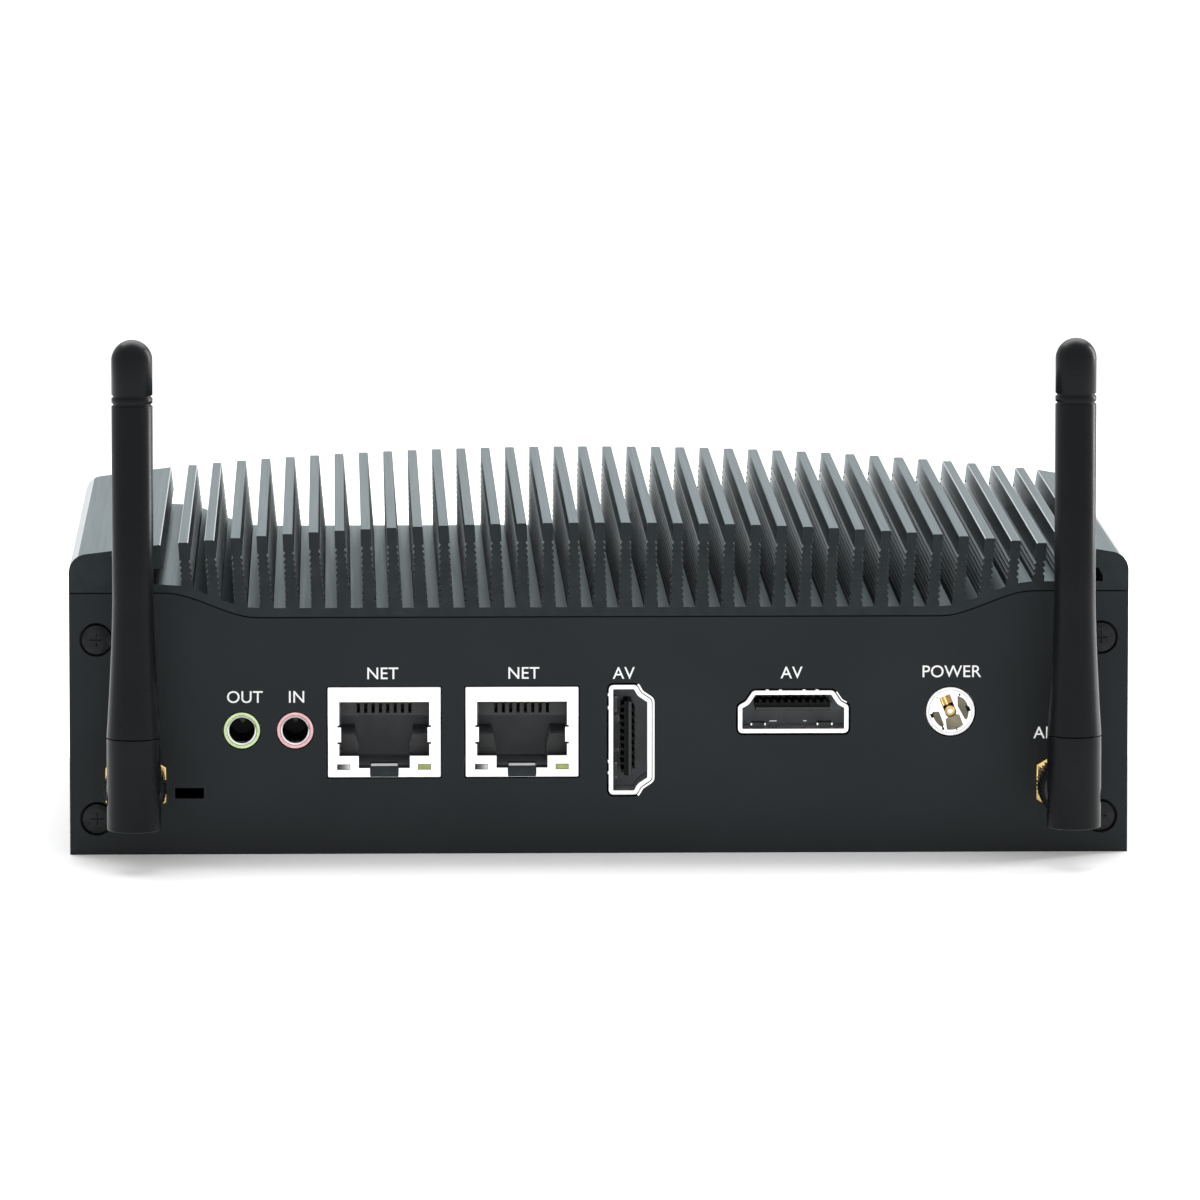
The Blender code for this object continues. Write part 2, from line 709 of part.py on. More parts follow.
def knuckle(side, x):
    """The swivel: a flange held by the nut, a collar, and a tongue for the pivot."""
    collar_front = PIVOT_Y + 6.2
    flange_front = NUT_Y[0] + 1.0 + GAP
    profile = [(collar_front, 0), (collar_front, 3.6), (NUT_Y[0] - GAP, 3.6)]
    profile += [(NUT_Y[0] - GAP, 2.2), (flange_front, 2.2), (flange_front, 3.1)]
    profile += [(flange_front + 1.1, 3.1), (flange_front + 1.1, 0)]
    bm = bmesh.new()
    turned(bm, profile, (x, ANTENNA_Z))
    swivel = piece(f"antenna_knuckle_{side}", bm, "black_plastic", smooth=True)
    end = arc((PIVOT_Y, ANTENNA_Z), TONGUE_RADIUS, 90, 270, 12)
    root_y = collar_front + 0.5
    outline = end + [(root_y, ANTENNA_Z - TONGUE_RADIUS), (root_y, ANTENNA_Z + TONGUE_RADIUS)]
    tongue = bmesh.new()
    prism(tongue, outline, x - TONGUE_HALF, x + TONGUE_HALF, "X")
    boolean(swivel, tongue, "UNION")
    bore = bmesh.new()
    centre = (PIVOT_Y, ANTENNA_Z)
    half = TONGUE_HALF + 1
    prism(bore, circle(centre, PIN_RADIUS + GAP, 16), x - half, x + half, "X")
    boolean(swivel, bore, "DIFFERENCE")


def fork(side, x):
    """The foot of the antenna, open behind and below so that it can fold out."""
    spigot = 2.0
    spigot_top = FORK_TOP + 6.0
    chamfer = 0.3
    profile = [(FORK_BOTTOM, 0), (FORK_BOTTOM, FORK_RADIUS - chamfer)]
    profile += [(FORK_BOTTOM + chamfer, FORK_RADIUS), (FORK_TOP, FORK_RADIUS)]
    profile += [(FORK_TOP, spigot), (spigot_top, spigot), (spigot_top, 0)]
    bm = bmesh.new()
    turned(bm, profile, (x, PIVOT_Y), "Z", 24)
    foot = piece(f"antenna_fork_{side}", bm, "antenna_rubber", smooth=True)
    reach = TONGUE_RADIUS + GAP
    outline = arc((PIVOT_Y, ANTENNA_Z), reach, 180, 90, 6)
    outline += [(PIVOT_Y + 8, ANTENNA_Z + reach), (PIVOT_Y + 8, 0), (PIVOT_Y - reach, 0)]
    slot = bmesh.new()
    half = TONGUE_HALF + GAP
    prism(slot, outline, x - half, x + half, "X")
    boolean(foot, slot, "DIFFERENCE")
    bore = bmesh.new()
    prism(bore, circle((PIVOT_Y, ANTENNA_Z), PIN_RADIUS + GAP, 16), x - 5, x + 5, "X")
    boolean(foot, bore, "DIFFERENCE", "bore")
    pin = bmesh.new()
    prism(pin, circle((PIVOT_Y, ANTENNA_Z), PIN_RADIUS, 12), x - 3.3, x + 3.3, "X")
    piece(f"antenna_pivot_pin_{side}", pin, "steel", smooth=True)


def sleeve(side, x):
    """The blade: a taper, a straight tube with two grooves, and a round tip."""
    bore = 2.3
    profile = [(SLEEVE_BOTTOM + 6.2, 0), (SLEEVE_BOTTOM + 6.2, bore), (SLEEVE_BOTTOM, bore)]
    steps = 4
    for step in range(steps + 1):
        part = step / steps
        z = SLEEVE_BOTTOM + (SLEEVE_TAPER_TOP - SLEEVE_BOTTOM) * part
        profile.append((z, FORK_RADIUS + (SLEEVE_RADIUS - FORK_RADIUS) * taper(part)))
    for z in GROOVES:
        floor = SLEEVE_RADIUS - GROOVE_DEPTH
        profile += [(z - GROOVE_HALF, SLEEVE_RADIUS), (z - GROOVE_HALF, floor)]
        profile += [(z + GROOVE_HALF, floor), (z + GROOVE_HALF, SLEEVE_RADIUS)]
    tip = ANTENNA_TOP - SLEEVE_RADIUS
    for step in range(steps + 1):
        angle = math.pi / 2 * step / (steps + 1)
        profile.append((tip + SLEEVE_RADIUS * math.sin(angle), SLEEVE_RADIUS * math.cos(angle)))
    profile.append((ANTENNA_TOP, 0))
    bm = bmesh.new()
    turned(bm, profile, (x, PIVOT_Y), "Z", 20)
    piece(f"antenna_sleeve_{side}", bm, "antenna_rubber", smooth=True)


def taper(part):
    """How far the blade has narrowed, easing in at its top."""
    return 1 - (1 - part) ** 1.4


def route(points, spacing):
    """Evenly spaced points on a smooth curve through the given ones."""
    given = [Vector(point) for point in points]
    padded = [2 * given[0] - given[1], *given, 2 * given[-1] - given[-2]]
    found = [given[0]]
    for before, start, end, after in zip(padded, padded[1:], padded[2:], padded[3:]):
        steps = max(2, round((end - start).length / spacing))
        for step in range(1, steps + 1):
            t = step / steps
            bend = 2 * start + (end - before) * t
            bend += (2 * before - 5 * start + 4 * end - after) * t**2
            bend += (3 * start - before - 3 * end + after) * t**3
            found.append(bend / 2)
    return found


def inner_lead(side, points):
    """The thin aerial lead from a panel socket to the wireless card."""
    radius = 0.65
    curve = bpy.data.curves.new(f"antenna_lead_{side}", "CURVE")
    curve.dimensions = "3D"
    curve.bevel_depth = radius * MM
    curve.bevel_resolution = 2
    curve.use_fill_caps = True
    spline = curve.splines.new("POLY")
    places = route(points, 3.6)
    spline.points.add(len(places) - 1)
    for point, place in zip(spline.points, places):
        point.co = (*(place * MM), 1)
    add_object(curve.name, curve)
    give_finish(curve, curve.name, "black_plastic")


def inner_leads():
    starts = {side: (x, -44.2, 10) for side, x in ANTENNA_X.items()}
    left = [starts["left"], (-63.6, -41, 9.8), (-59, -35.5, 7.5), (-51, -27, 3.8), (-40, -19, 3.2)]
    left += [(-30, -12, 4.6), (-25.5, -6, 10), (-25, -4.5, 16), (-25, -4.2, 18.8)]
    right = [starts["right"], (64.0, -41, 9.8), (59, -35.5, 7.5), (49, -25, 3.8), (20, -16, 3.2)]
    right += [(-3, -11, 4.2), (-11.5, -6, 10), (-13, -4.5, 16), (-13, -4.2, 18.8)]
    inner_lead("left", left)
    inner_lead("right", right)


def antennas():
    for side, x in ANTENNA_X.items():
        panel_connector(side, x)
        coupling_nut(side, x)
        knuckle(side, x)
        fork(side, x)
        sleeve(side, x)
    inner_leads()


def usb_jacks():
    """Two stacked sockets, each with two mouths and a tongue in each mouth."""
    front = -PORT_FRONT
    half = USB_WIDTH / 2
    low = PORT_TOP - USB_HEIGHT
    frame = 1.0
    shell = 0.4
    mouth = 5.1
    depth = 9.0
    for number, x in enumerate(USB_X, 1):
        bm = bmesh.new()
        box(bm, (x - half, USB_BACK, low), (x + half, front, PORT_TOP))
        jack = piece(f"usb_jack_{number}", bm, "steel")
        mouths = bmesh.new()
        tongues = bmesh.new()
        for bottom in (low + frame, PORT_TOP - frame - mouth):
            sides = (x - half + shell, x + half - shell)
            prism(mouths, rectangle(*sides, bottom, bottom + mouth), front - depth, front + 1)
            tongue = rectangle(x - half + frame, x + half - frame, bottom + 2.7, bottom + 4.4)
            prism(tongues, tongue, front - depth - 1, front - frame)
        boolean(jack, mouths, "DIFFERENCE")
        boolean(jack, tongues, "UNION")


def front_controls():
    x, z = BUTTON
    front = HALF_DEPTH + 1.0
    inner = HALF_DEPTH - WALL - GAP
    chamfer = 0.4
    profile = [(front, 0), (front, BUTTON_RADIUS - chamfer), (front - chamfer, BUTTON_RADIUS)]
    profile += [(inner, BUTTON_RADIUS), (inner, BUTTON_RADIUS + 1), (inner - 1.2, BUTTON_RADIUS + 1)]
    profile += [(inner - 1.2, 1.5), (47.5, 1.5), (47.5, 0)]
    bm = bmesh.new()
    turned(bm, profile, BUTTON, "Y", 32)
    piece("power_button", bm, "black_steel", smooth=True)
    bm = bmesh.new()
    box(bm, (x - 3, 42.5, z - 3), (x + 3, 46.2, PORT_TOP))
    piece("button_switch", bm, "black_plastic")
    x, z = LIGHT
    bm = bmesh.new()
    prism(bm, circle(LIGHT, LIGHT_RADIUS, 16), 44.5, HALF_DEPTH + 0.2)
    pipe = piece("light_pipe", bm, "clear_plastic", smooth=True)
    leg = bmesh.new()
    box(leg, (x - 1.2, 43.8, z - 1.2), (x + 1.2, 46.2, PORT_TOP))
    boolean(pipe, leg, "UNION")


def build():
    clear_scene()
    heatsink_lid()
    chassis_tray()
    rear_panel()
    front_panel()
    all_screws()
    mainboard()
    on_board()
    lan_sockets()
    hd_sockets()
    round_sockets()
    antennas()
    usb_jacks()
    front_controls()


build()
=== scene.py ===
"""The looks of a fanless mini PC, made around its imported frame.

Shapes are worked out in millimetres in the frame's axes: X to the right as seen from
the ports, +Y away from the port side, +Z up. They become metres when a mesh is made.
"""

import math

import bmesh
import bpy
from mathutils import Matrix, Vector


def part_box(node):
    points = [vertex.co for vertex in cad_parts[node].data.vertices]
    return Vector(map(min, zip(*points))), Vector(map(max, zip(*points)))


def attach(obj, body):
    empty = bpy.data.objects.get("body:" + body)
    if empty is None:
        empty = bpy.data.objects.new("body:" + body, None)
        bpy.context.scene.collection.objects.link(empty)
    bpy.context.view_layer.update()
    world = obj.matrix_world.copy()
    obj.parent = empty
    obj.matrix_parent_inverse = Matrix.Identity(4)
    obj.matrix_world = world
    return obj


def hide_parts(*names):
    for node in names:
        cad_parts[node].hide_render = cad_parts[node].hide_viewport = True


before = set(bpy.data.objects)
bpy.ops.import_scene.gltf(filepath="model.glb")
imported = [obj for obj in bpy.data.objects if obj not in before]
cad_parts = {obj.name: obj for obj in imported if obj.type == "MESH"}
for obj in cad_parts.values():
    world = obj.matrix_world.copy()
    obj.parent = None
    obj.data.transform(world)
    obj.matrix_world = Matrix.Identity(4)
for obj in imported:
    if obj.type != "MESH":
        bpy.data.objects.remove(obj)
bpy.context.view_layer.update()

MM = 0.001
GAP = 0.3
WALL = 2.0

# The lid's section
CROWN_TOP = 46.2
CROWN_RADIUS = 628.0
SEAM_EDGE = 36.55
SEAM_MIDDLE = 33.1
SEAM_WAVE = (47.3, 60.3)
WAVE_STEPS = 20
FIN_COUNT = 35
FIN_FIRST = -57.65
FIN_PITCH = 3.609
FIN_TOP = 1.35
FIN_BASE = 2.04
FIN_CHAMFER = 0.1
TOOTH_BAND = 2.2
TOOTH_PITCH = 0.8
TOOTH_LAND = 0.22
TOOTH_FALL = 0.2
TOOTH_DEPTH = 0.3
LID_BASE = 1.15
SHOULDER_LEFT = 60.8
SHOULDER_RIGHT = 67.6
SHOULDER_ROUND = 2.6
SHOULDER_SLOPE = 0.35
UNDERCUT_TOP = 40.0
UNDERCUT_DEPTH = 2.5
END_ROUND = 1.0
SEAM_HALF = 0.05
POST_RADIUS = 3.0
CASE_POST = (66.0, 35.0)
BOARD_POST = (56.0, 41.0)

# Screws: head radius, head height, shank radius, whole length
PANEL_SCREW = (2.1, 1.1, 1.1, 9.0)
LID_SCREW = (2.6, 1.1, 1.2, 12.0)
BOARD_SCREW = (2.1, 1.0, 1.1, 6.0)
SCREW_PITCH = 0.5
PANEL_SCREW_X = 69.7
PANEL_SCREW_Z = (5.0, 30.0)

# Sockets
SIDES = ("left", "right")
PORT_CLEARANCE = 0.16
LAN_MOUTH = (6.25, 13.7, 21.25)
LAN_KEYWAY = (3.55, 12.0)
LAN_SLOT = 2.0
LAN_NOTCHES = (15.5, 17.84)
LAN_CONTACTS = 8
LAN_CONTACT_PITCH = 1.02
HD_HEIGHT = 6.0
HD_HALVES = (5.6, 6.6, 7.7)
HD_DROPS = (1.5, 2.1)
HD_BAND = 0.64
HD_CLEARANCE = 0.26
AUDIO_BODY_HALF = 3.2
AUDIO_NOSE = 2.5
POWER_BODY_HALF = 3.7
POWER_HOLE = 3.4
BUTTON_RADIUS = 4.0
LIGHT_RADIUS = 1.5
# The inlet's notches: angle in degrees, half width, distance from the centre
POWER_NOTCHES = (
    (-14, 0.34, 2.5), (172, 0.3, 2.6), (226, 0.2, 2.62), (268, 0.12, 2.7), (40, 0.16, 2.65), (112, 0.1, 2.7),
)
SLOT = (-58.9, -54.9, 7.8, 9.3)

# Antennas
FORK_RADIUS = 3.72
SLEEVE_RADIUS = 2.84
SLEEVE_TAPER_TOP = 37.5
SLEEVE_SEAM = 0.1
GROOVES = (64.4, 65.5)
TONGUE_HALF = 1.3
TONGUE_RADIUS = 2.6
PIN_RADIUS = 0.9
THREAD_RADIUS = 3.175
THREAD_PITCH = 0.7
NUT_RADIUS = 4.3
KNURLS = 48


# Outlines: lists of (a, b) points, anticlockwise


def rectangle(a0, a1, b0, b1):
    return [(a0, b0), (a1, b0), (a1, b1), (a0, b1)]


def circle(centre, radius, steps=48, start=0.0):
    turn = 2 * math.pi / steps
    angles = [start + turn * step for step in range(steps)]
    return [(centre[0] + radius * math.cos(t), centre[1] + radius * math.sin(t)) for t in angles]


def arc(centre, radius, start_deg, end_deg, steps):
    span = math.radians(end_deg - start_deg)
    angles = [math.radians(start_deg) + span * step / steps for step in range(steps + 1)]
    return [(centre[0] + radius * math.cos(t), centre[1] + radius * math.sin(t)) for t in angles]


def around(outline):
    """Each point of an outline with the one before it and the one after it."""
    points = [Vector(point) for point in outline]
    return zip([points[-1], *points[:-1]], points, [*points[1:], points[0]])


def inset(outline, distance):
    """An outline moved inwards by a distance, or outwards by a negative one."""
    moved = []
    for before, point, after in around(outline):
        first = (point - before).normalized()
        second = (after - point).normalized()
        normals = Vector((-first.y, first.x)) + Vector((-second.y, second.x))
        moved.append(tuple(point + normals * distance / (1 + first.dot(second))))
    return moved


def rounded(outline, radius, steps=4):
    """An outline whose corners are eased by a radius."""
    eased = []
    for before, point, after in around(outline):
        first = (point - before).normalized()
        second = (after - point).normalized()
        reach = radius * math.tan(first.angle(second) / 2)
        start = point - first * reach
        end = point + second * reach
        for step in range(steps + 1):
            t = step / steps
            eased.append(tuple(start * (1 - t) ** 2 + point * 2 * t * (1 - t) + end * t**2))
    return eased


def shifted(outline, centre):
    return [(a + centre[0], b + centre[1]) for a, b in outline]


# Solids, in millimetres


def placed(outline, along, axis="Y"):
    """An outline's points in space, at a place along an axis."""
    if axis == "X":
        return [(along, a, b) for a, b in outline]
    if axis == "Y":
        return [(a, along, b) for a, b in outline]
    return [(a, b, along) for a, b in outline]


def loft(bm, sections, closed=False):
    """Skins a row of sections, and caps both ends or joins the last to the first."""
    rings = [[bm.verts.new(point) for point in section] for section in sections]
    pairs = list(zip(rings, rings[1:]))
    if closed:
        pairs.append((rings[-1], rings[0]))
    else:
        bm.faces.new(rings[0])
        bm.faces.new(rings[-1])
    for first, second in pairs:
        for here in range(len(first)):
            after = (here + 1) % len(first)
            bm.faces.new((first[here], first[after], second[after], second[here]))


def prism(bm, outline, low, high, axis="Y"):
    loft(bm, [placed(outline, low, axis), placed(outline, high, axis)])


def box(bm, low, high, chamfer=0.0):
    """A box between two corners, with its long edges along Z eased."""
    outline = rectangle(low[0], high[0], low[1], high[1])
    if chamfer:
        outline = rounded(outline, chamfer, 3)
    prism(bm, outline, low[2], high[2], "Z")


def turned(bm, profile, centre, axis="Y", steps=48, closed=False):
    """A profile of (place along the axis, radius) points turned round the axis."""
    loft(bm, [placed(circle(centre, radius, steps), along, axis) for along, radius in profile], closed)


def solid(name, bm):
    """An object from a bmesh in millimetres, with its faces pointing out."""
    bmesh.ops.scale(bm, vec=(MM, MM, MM), verts=bm.verts)
    bmesh.ops.recalc_face_normals(bm, faces=bm.faces)
    mesh = bpy.data.meshes.new(name)
    bm.to_mesh(mesh)
    bm.free()
    obj = bpy.data.objects.new(name, mesh)
    bpy.context.scene.collection.objects.link(obj)
    return obj


def apply_modifiers(obj):
    graph = bpy.context.evaluated_depsgraph_get()
    mesh = bpy.data.meshes.new_from_object(obj.evaluated_get(graph), depsgraph=graph)
    obj.modifiers.clear()
    obj.data = mesh


def combine(obj, bm, operation):
    """Cuts the shapes in bm from a piece, or joins them to it."""
    tool = solid("tool", bm)
    modifier = obj.modifiers.new("combine", "BOOLEAN")
    modifier.operation = operation
    modifier.solver = "EXACT"
    modifier.object = tool
    apply_modifiers(obj)
    bpy.data.objects.remove(tool)


def prism_solid(name, outline, low, high, axis="Y"):
    bm = bmesh.new()
    prism(bm, outline, low, high, axis)
    return solid(name, bm)


def turned_solid(name, profile, centre, axis="Y", steps=48, closed=False):
    bm = bmesh.new()
    turned(bm, profile, centre, axis, steps, closed)
    return solid(name, bm)


def cut(obj, outline, low, high, axis="Y"):
    """Cuts a prism from a piece."""
    tool = bmesh.new()
    prism(tool, outline, low, high, axis)
    combine(obj, tool, "DIFFERENCE")


def soften(obj, width, segments=2, angle=40):
    """Rounds the sharp edges by a width in millimetres."""
    modifier = obj.modifiers.new("soften", "BEVEL")
    modifier.width = width * MM
    modifier.segments = segments
    modifier.limit_method = "ANGLE"
    modifier.angle_limit = math.radians(angle)
    modifier.use_clamp_overlap = True
    modifier.harden_normals = False
    weighted = obj.modifiers.new("weighted", "WEIGHTED_NORMAL")
    weighted.keep_sharp = True
    obj.data.shade_smooth()
    apply_modifiers(obj)


def settle(obj, material, nodes=(), body="root", smooth=30):
    """Gives a piece its material and body, and hides the nodes it stands for."""
    obj.data.materials.clear()
    obj.data.materials.append(material)
    if smooth:
        obj.data.shade_smooth()
        obj.data.set_sharp_from_angle(angle=math.radians(smooth))
    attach(obj, body)
    if nodes:
        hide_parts(*nodes)
    return obj


def repaint(obj, material, chosen):
    """Gives a second material to the faces that a test picks."""
    obj.data.materials.append(material)
    for face in obj.data.polygons:
        if chosen(face):
            face.material_index = 1


def low_high(node):
    """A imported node's lowest and highest corners, in millimetres."""
    low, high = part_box(node)
    return low / MM, high / MM


def middle(node):
    low, high = low_high(node)
    return (low + high) / 2


# Materials


# How far noise is stretched along each axis: a small part draws it out
EVEN = (1, 1, 1)
ALONG_Y = (1, 0.02, 1)
ALONG_X = (0.03, 1, 1)
EXTRUDED = (1, 0.01, 1)


def noise(tree, scale, stretch=EVEN, detail=2.0):
    """Noise through the object's own space, in features per millimetre."""
    place = tree.nodes.new("ShaderNodeTexCoord")
    mapping = tree.nodes.new("ShaderNodeMapping")
    mapping.inputs["Scale"].default_value = [part / MM for part in stretch]
    tree.links.new(place.outputs["Object"], mapping.inputs["Vector"])
    made = tree.nodes.new("ShaderNodeTexNoise")
    made.inputs["Scale"].default_value = scale
    made.inputs["Detail"].default_value = detail
    tree.links.new(mapping.outputs["Vector"], made.inputs["Vector"])
    return made.outputs["Fac"]


def ramp(tree, value, stops):
    """Colours along a value, as (place, colour) stops."""
    made = tree.nodes.new("ShaderNodeValToRGB")
    elements = made.color_ramp.elements
    while len(elements) < len(stops):
        elements.new(0.5)
    for element, (place, color) in zip(elements, stops):
        element.position = place
        element.color = (*color, 1)
    tree.links.new(value, made.inputs["Fac"])
    return made.outputs["Color"]


def spread(tree, value, low, high):
    """Noise spread over a range."""
    made = tree.nodes.new("ShaderNodeMapRange")
    made.inputs["From Min"].default_value = 0.3
    made.inputs["From Max"].default_value = 0.7
    made.inputs["To Min"].default_value = low
    made.inputs["To Max"].default_value = high
    tree.links.new(value, made.inputs["Value"])
    return made.outputs["Result"]


def surface(name, color, roughness, metallic, patch, mottle, rough, *bumps, grain=EVEN, **sockets):
    """A material whose colour, roughness and bump vary with noise.

    patch is the size of the colour's patches in features per millimetre and grain their
    stretch. mottle is how far the colour strays, and rough how far the roughness does.
    Each bump is (features per millimetre, height in mm, stretch if it isn't even).
    """
    made = bpy.data.materials.new(name)
    made.use_nodes = True
    tree = made.node_tree
    shader = tree.nodes["Principled BSDF"]
    shader.inputs["Metallic"].default_value = metallic
    for socket, value in sockets.items():
        shader.inputs[socket.replace("_", " ")].default_value = value
    dark = [part * (1 - mottle) for part in color]
    light = [min(part * (1 + mottle), 1) for part in color]
    tint = ramp(tree, noise(tree, patch, grain, 4.0), [(0.35, dark), (0.65, light)])
    tree.links.new(tint, shader.inputs["Base Color"])
    gloss = spread(tree, noise(tree, patch * 4, grain, 3.0), roughness - rough, roughness + rough)
    tree.links.new(gloss, shader.inputs["Roughness"])
    normal = None
    for scale, height, *stretch in bumps:
        bump = tree.nodes.new("ShaderNodeBump")
        bump.inputs["Strength"].default_value = 1.0
        bump.inputs["Distance"].default_value = height * MM
        tree.links.new(noise(tree, scale, *stretch), bump.inputs["Height"])
        if normal:
            tree.links.new(normal, bump.inputs["Normal"])
        normal = bump.outputs["Normal"]
    if normal:
        tree.links.new(normal, shader.inputs["Normal"])
    return made


def lamp_grey():
    """A clear lamp window, with painted shade at its left end and a painted silvery reflection at its right.
    """
    made = surface("grey_lamp", (0.5, 0.5, 0.5), 0.25, 0.0, 0.12, 0.1, 0.05, (4.0, 0.002))
    tree = made.node_tree
    place = tree.nodes.new("ShaderNodeTexCoord")
    parts = tree.nodes.new("ShaderNodeSeparateXYZ")
    tree.links.new(place.outputs["Generated"], parts.inputs["Vector"])
    # Dark to silvery across the window: painted shade and painted reflection.
    stops = [(0.15, (0.006, 0.006, 0.006)), (0.5, (0.16, 0.16, 0.16)), (0.95, (0.62, 0.63, 0.64))]
    tint = ramp(tree, parts.outputs["X"], stops)
    tree.links.new(tint, tree.nodes["Principled BSDF"].inputs["Base Color"])
    return made


# Each line gives the name, colour, roughness, metallic, patch, mottle, rough and bumps
CASE = surface(
    "anodised_case", (0.0187, 0.0216, 0.0235), 0.42, 0.88, 0.05, 0.06, 0.03, (5.0, 0.004), (1.2, 0.004),
)
LID = surface(
    "anodised_lid", (0.0205, 0.0245, 0.0262), 0.36, 0.88, 0.5, 0.1, 0.025,
    (5.0, 0.002), (3.0, 0.002, ALONG_Y), grain=EXTRUDED, Specular_Tint=(0.86, 0.97, 1.0, 1.0),
)
# The lid's own anodising, painted much lighter for the teeth's upward faces: a painted highlight.
TOOTH_HIGHLIGHT = surface(
    "teeth_painted_highlight", (0.42, 0.45, 0.46), 0.42, 0.88, 0.4, 0.12, 0.03, (5.0, 0.002), grain=EXTRUDED,
)
SCREW = surface("black_oxide", (0.016, 0.017, 0.018), 0.38, 0.85, 1.0, 0.2, 0.08, (6.0, 0.004))
STEEL = surface("tin_plate", (0.95, 0.95, 0.955), 0.3, 1.0, 0.3, 0.01, 0.02, (4.0, 0.0003, ALONG_X))
DARK_STEEL = surface("spring_steel", (0.12, 0.12, 0.125), 0.35, 1.0, 1.0, 0.2, 0.1, (5.0, 0.002))
TAB = surface("blued_spring_steel", (0.026, 0.031, 0.034), 0.4, 0.9, 0.8, 0.12, 0.05, (5.0, 0.001))
GOLD = surface("gold_plate", (0.85, 0.62, 0.26), 0.22, 1.0, 0.8, 0.08, 0.06, (5.0, 0.001))
BRONZE = surface("bronze", (0.42, 0.26, 0.09), 0.3, 1.0, 1.5, 0.25, 0.08, (5.0, 0.002))
ALUMINIUM = surface("milled_aluminium", (0.76, 0.77, 0.78), 0.34, 1.0, 0.3, 0.04, 0.06, (3.0, 0.003, ALONG_X))
BLACK = surface("black_moulding", (0.014, 0.0145, 0.015), 0.45, 0.0, 0.6, 0.12, 0.08, (4.0, 0.004))
LEDGE = surface("contact_block", (0.016, 0.0175, 0.017), 0.5, 0.0, 0.6, 0.1, 0.06, (4.0, 0.004))
# Near black that stands in for shade deep in the sockets: painted shade.
SHADE_BLACK = surface(
    "painted_shade_black", (0.004, 0.004, 0.0045), 0.6, 0.0, 0.6, 0.15, 0.06, (4.0, 0.003),
    Specular_IOR_Level=0.15,
)
# The inserts' own dark moulding, painted light grey on their deep faces: painted light.
CAVITY_PAINTED_LIGHT = surface("cavity_painted_light", (0.2, 0.215, 0.23), 0.6, 0.0, 0.3, 0.08, 0.04, (4.0, 0.003))
WHITE = surface("white_moulding", (0.95, 0.95, 0.945), 0.35, 0.0, 0.5, 0.02, 0.06, (4.0, 0.002))
KHAKI = surface("tan_moulding", (0.34, 0.31, 0.21), 0.42, 0.0, 0.8, 0.15, 0.08, (4.0, 0.004))
GREEN = surface("green_moulding", (0.72, 0.88, 0.5), 0.35, 0.0, 0.5, 0.04, 0.06, (4.0, 0.002))
PINK = surface("pink_moulding", (0.92, 0.56, 0.58), 0.35, 0.0, 0.5, 0.04, 0.06, (4.0, 0.002))
COVER = surface(
    "antenna_cover", (0.0042, 0.0047, 0.0056), 0.3, 0.0, 0.15, 0.1, 0.03, (5.0, 0.0015),
    Specular_IOR_Level=0.12,
)
BOARD = surface(
    "solder_mask", (0.012, 0.085, 0.045), 0.35, 0.0, 0.5, 0.3, 0.08,
    (1.4, 0.02, (1, 0.1, 1)), (1.4, 0.02, (0.1, 1, 1)),
)
CHIP = surface("chip_package", (0.018, 0.018, 0.019), 0.5, 0.0, 1.0, 0.15, 0.08, (7.0, 0.006))
CLEAR = surface(
    "light_pipe", (0.45, 0.62, 0.85), 0.15, 0.0, 0.5, 0.05, 0.04, (3.0, 0.001), Transmission_Weight=0.6,
)
INK = surface("white_ink", (0.87, 0.88, 0.88), 0.5, 0.0, 2.0, 0.04, 0.08, (8.0, 0.002))
LAMP_GREEN = surface("green_lamp", (0.31, 0.37, 0.1), 0.25, 0.0, 1.5, 0.12, 0.06, (4.0, 0.002))
LAMP_GREY = lamp_grey()


# Case


def smoothstep(value):
    value = min(max(value, 0.0), 1.0)
    return value * value * (3 - 2 * value)


def seam_z(x):
    """Height of the seam between the lid and the end panels."""
    start, end = SEAM_WAVE
    return SEAM_MIDDLE + (SEAM_EDGE - SEAM_MIDDLE) * smoothstep((abs(x) - start) / (end - start))


def floor_z(x):
    """Height of the valley floors between the fins."""
    return seam_z(x) + GAP / 2 + LID_BASE


def crown_z(x):
    """Height of the shallow arc that the fin tops follow."""
    return CROWN_TOP - CROWN_RADIUS + math.sqrt(CROWN_RADIUS**2 - x * x)


def seam_points(offset):
    """The seam from left to right, moved up by offset."""
    edge = low_high("heatsink_lid")[1].x
    start, end = SEAM_WAVE
    half = [start + (end - start) * step / WAVE_STEPS for step in range(WAVE_STEPS + 1)]
    places = [-edge, *[-x for x in reversed(half)], *half, edge]
    return [(x, seam_z(x) + offset) for x in places]


def toothed_side(top, foot, side):
    """One side of a fin from its chamfered top down: a smooth band, then fine teeth."""
    length = math.dist(top, foot)
    step_x = (foot[0] - top[0]) / length
    step_z = (foot[1] - top[1]) / length

    def point(down, deep):
        return (top[0] + step_x * down - side * deep, top[1] + step_z * down)

    points = [(top[0] - side * FIN_CHAMFER, top[1]), point(FIN_CHAMFER, 0)]
    down = TOOTH_BAND
    while down + TOOTH_PITCH < length - TOOTH_PITCH / 2:
        groove = down + TOOTH_LAND + TOOTH_FALL
        points += [point(down, 0), point(down + TOOTH_LAND, 0), point(groove, TOOTH_DEPTH)]
        down += TOOTH_PITCH
    return points + [point(down, 0), foot]


def fin_points(index):
    """One toothed fin, square to the crown, from its left foot to its right one."""
    centre = FIN_FIRST + FIN_PITCH * index
    lean = math.asin(centre / CROWN_RADIUS)
    sides = []
    for side in (-1, 1):
        top = (centre + side * FIN_TOP / 2, crown_z(centre))
        foot = top
        for _ in range(3):
            height = top[1] - floor_z(foot[0])
            flare = (FIN_BASE - FIN_TOP) / 2 * height / (CROWN_TOP - SEAM_MIDDLE)
            foot = (top[0] - height * math.tan(lean) + side * flare, top[1] - height)
        sides.append(toothed_side(top, foot, side))
    return list(reversed(sides[0])) + sides[1]


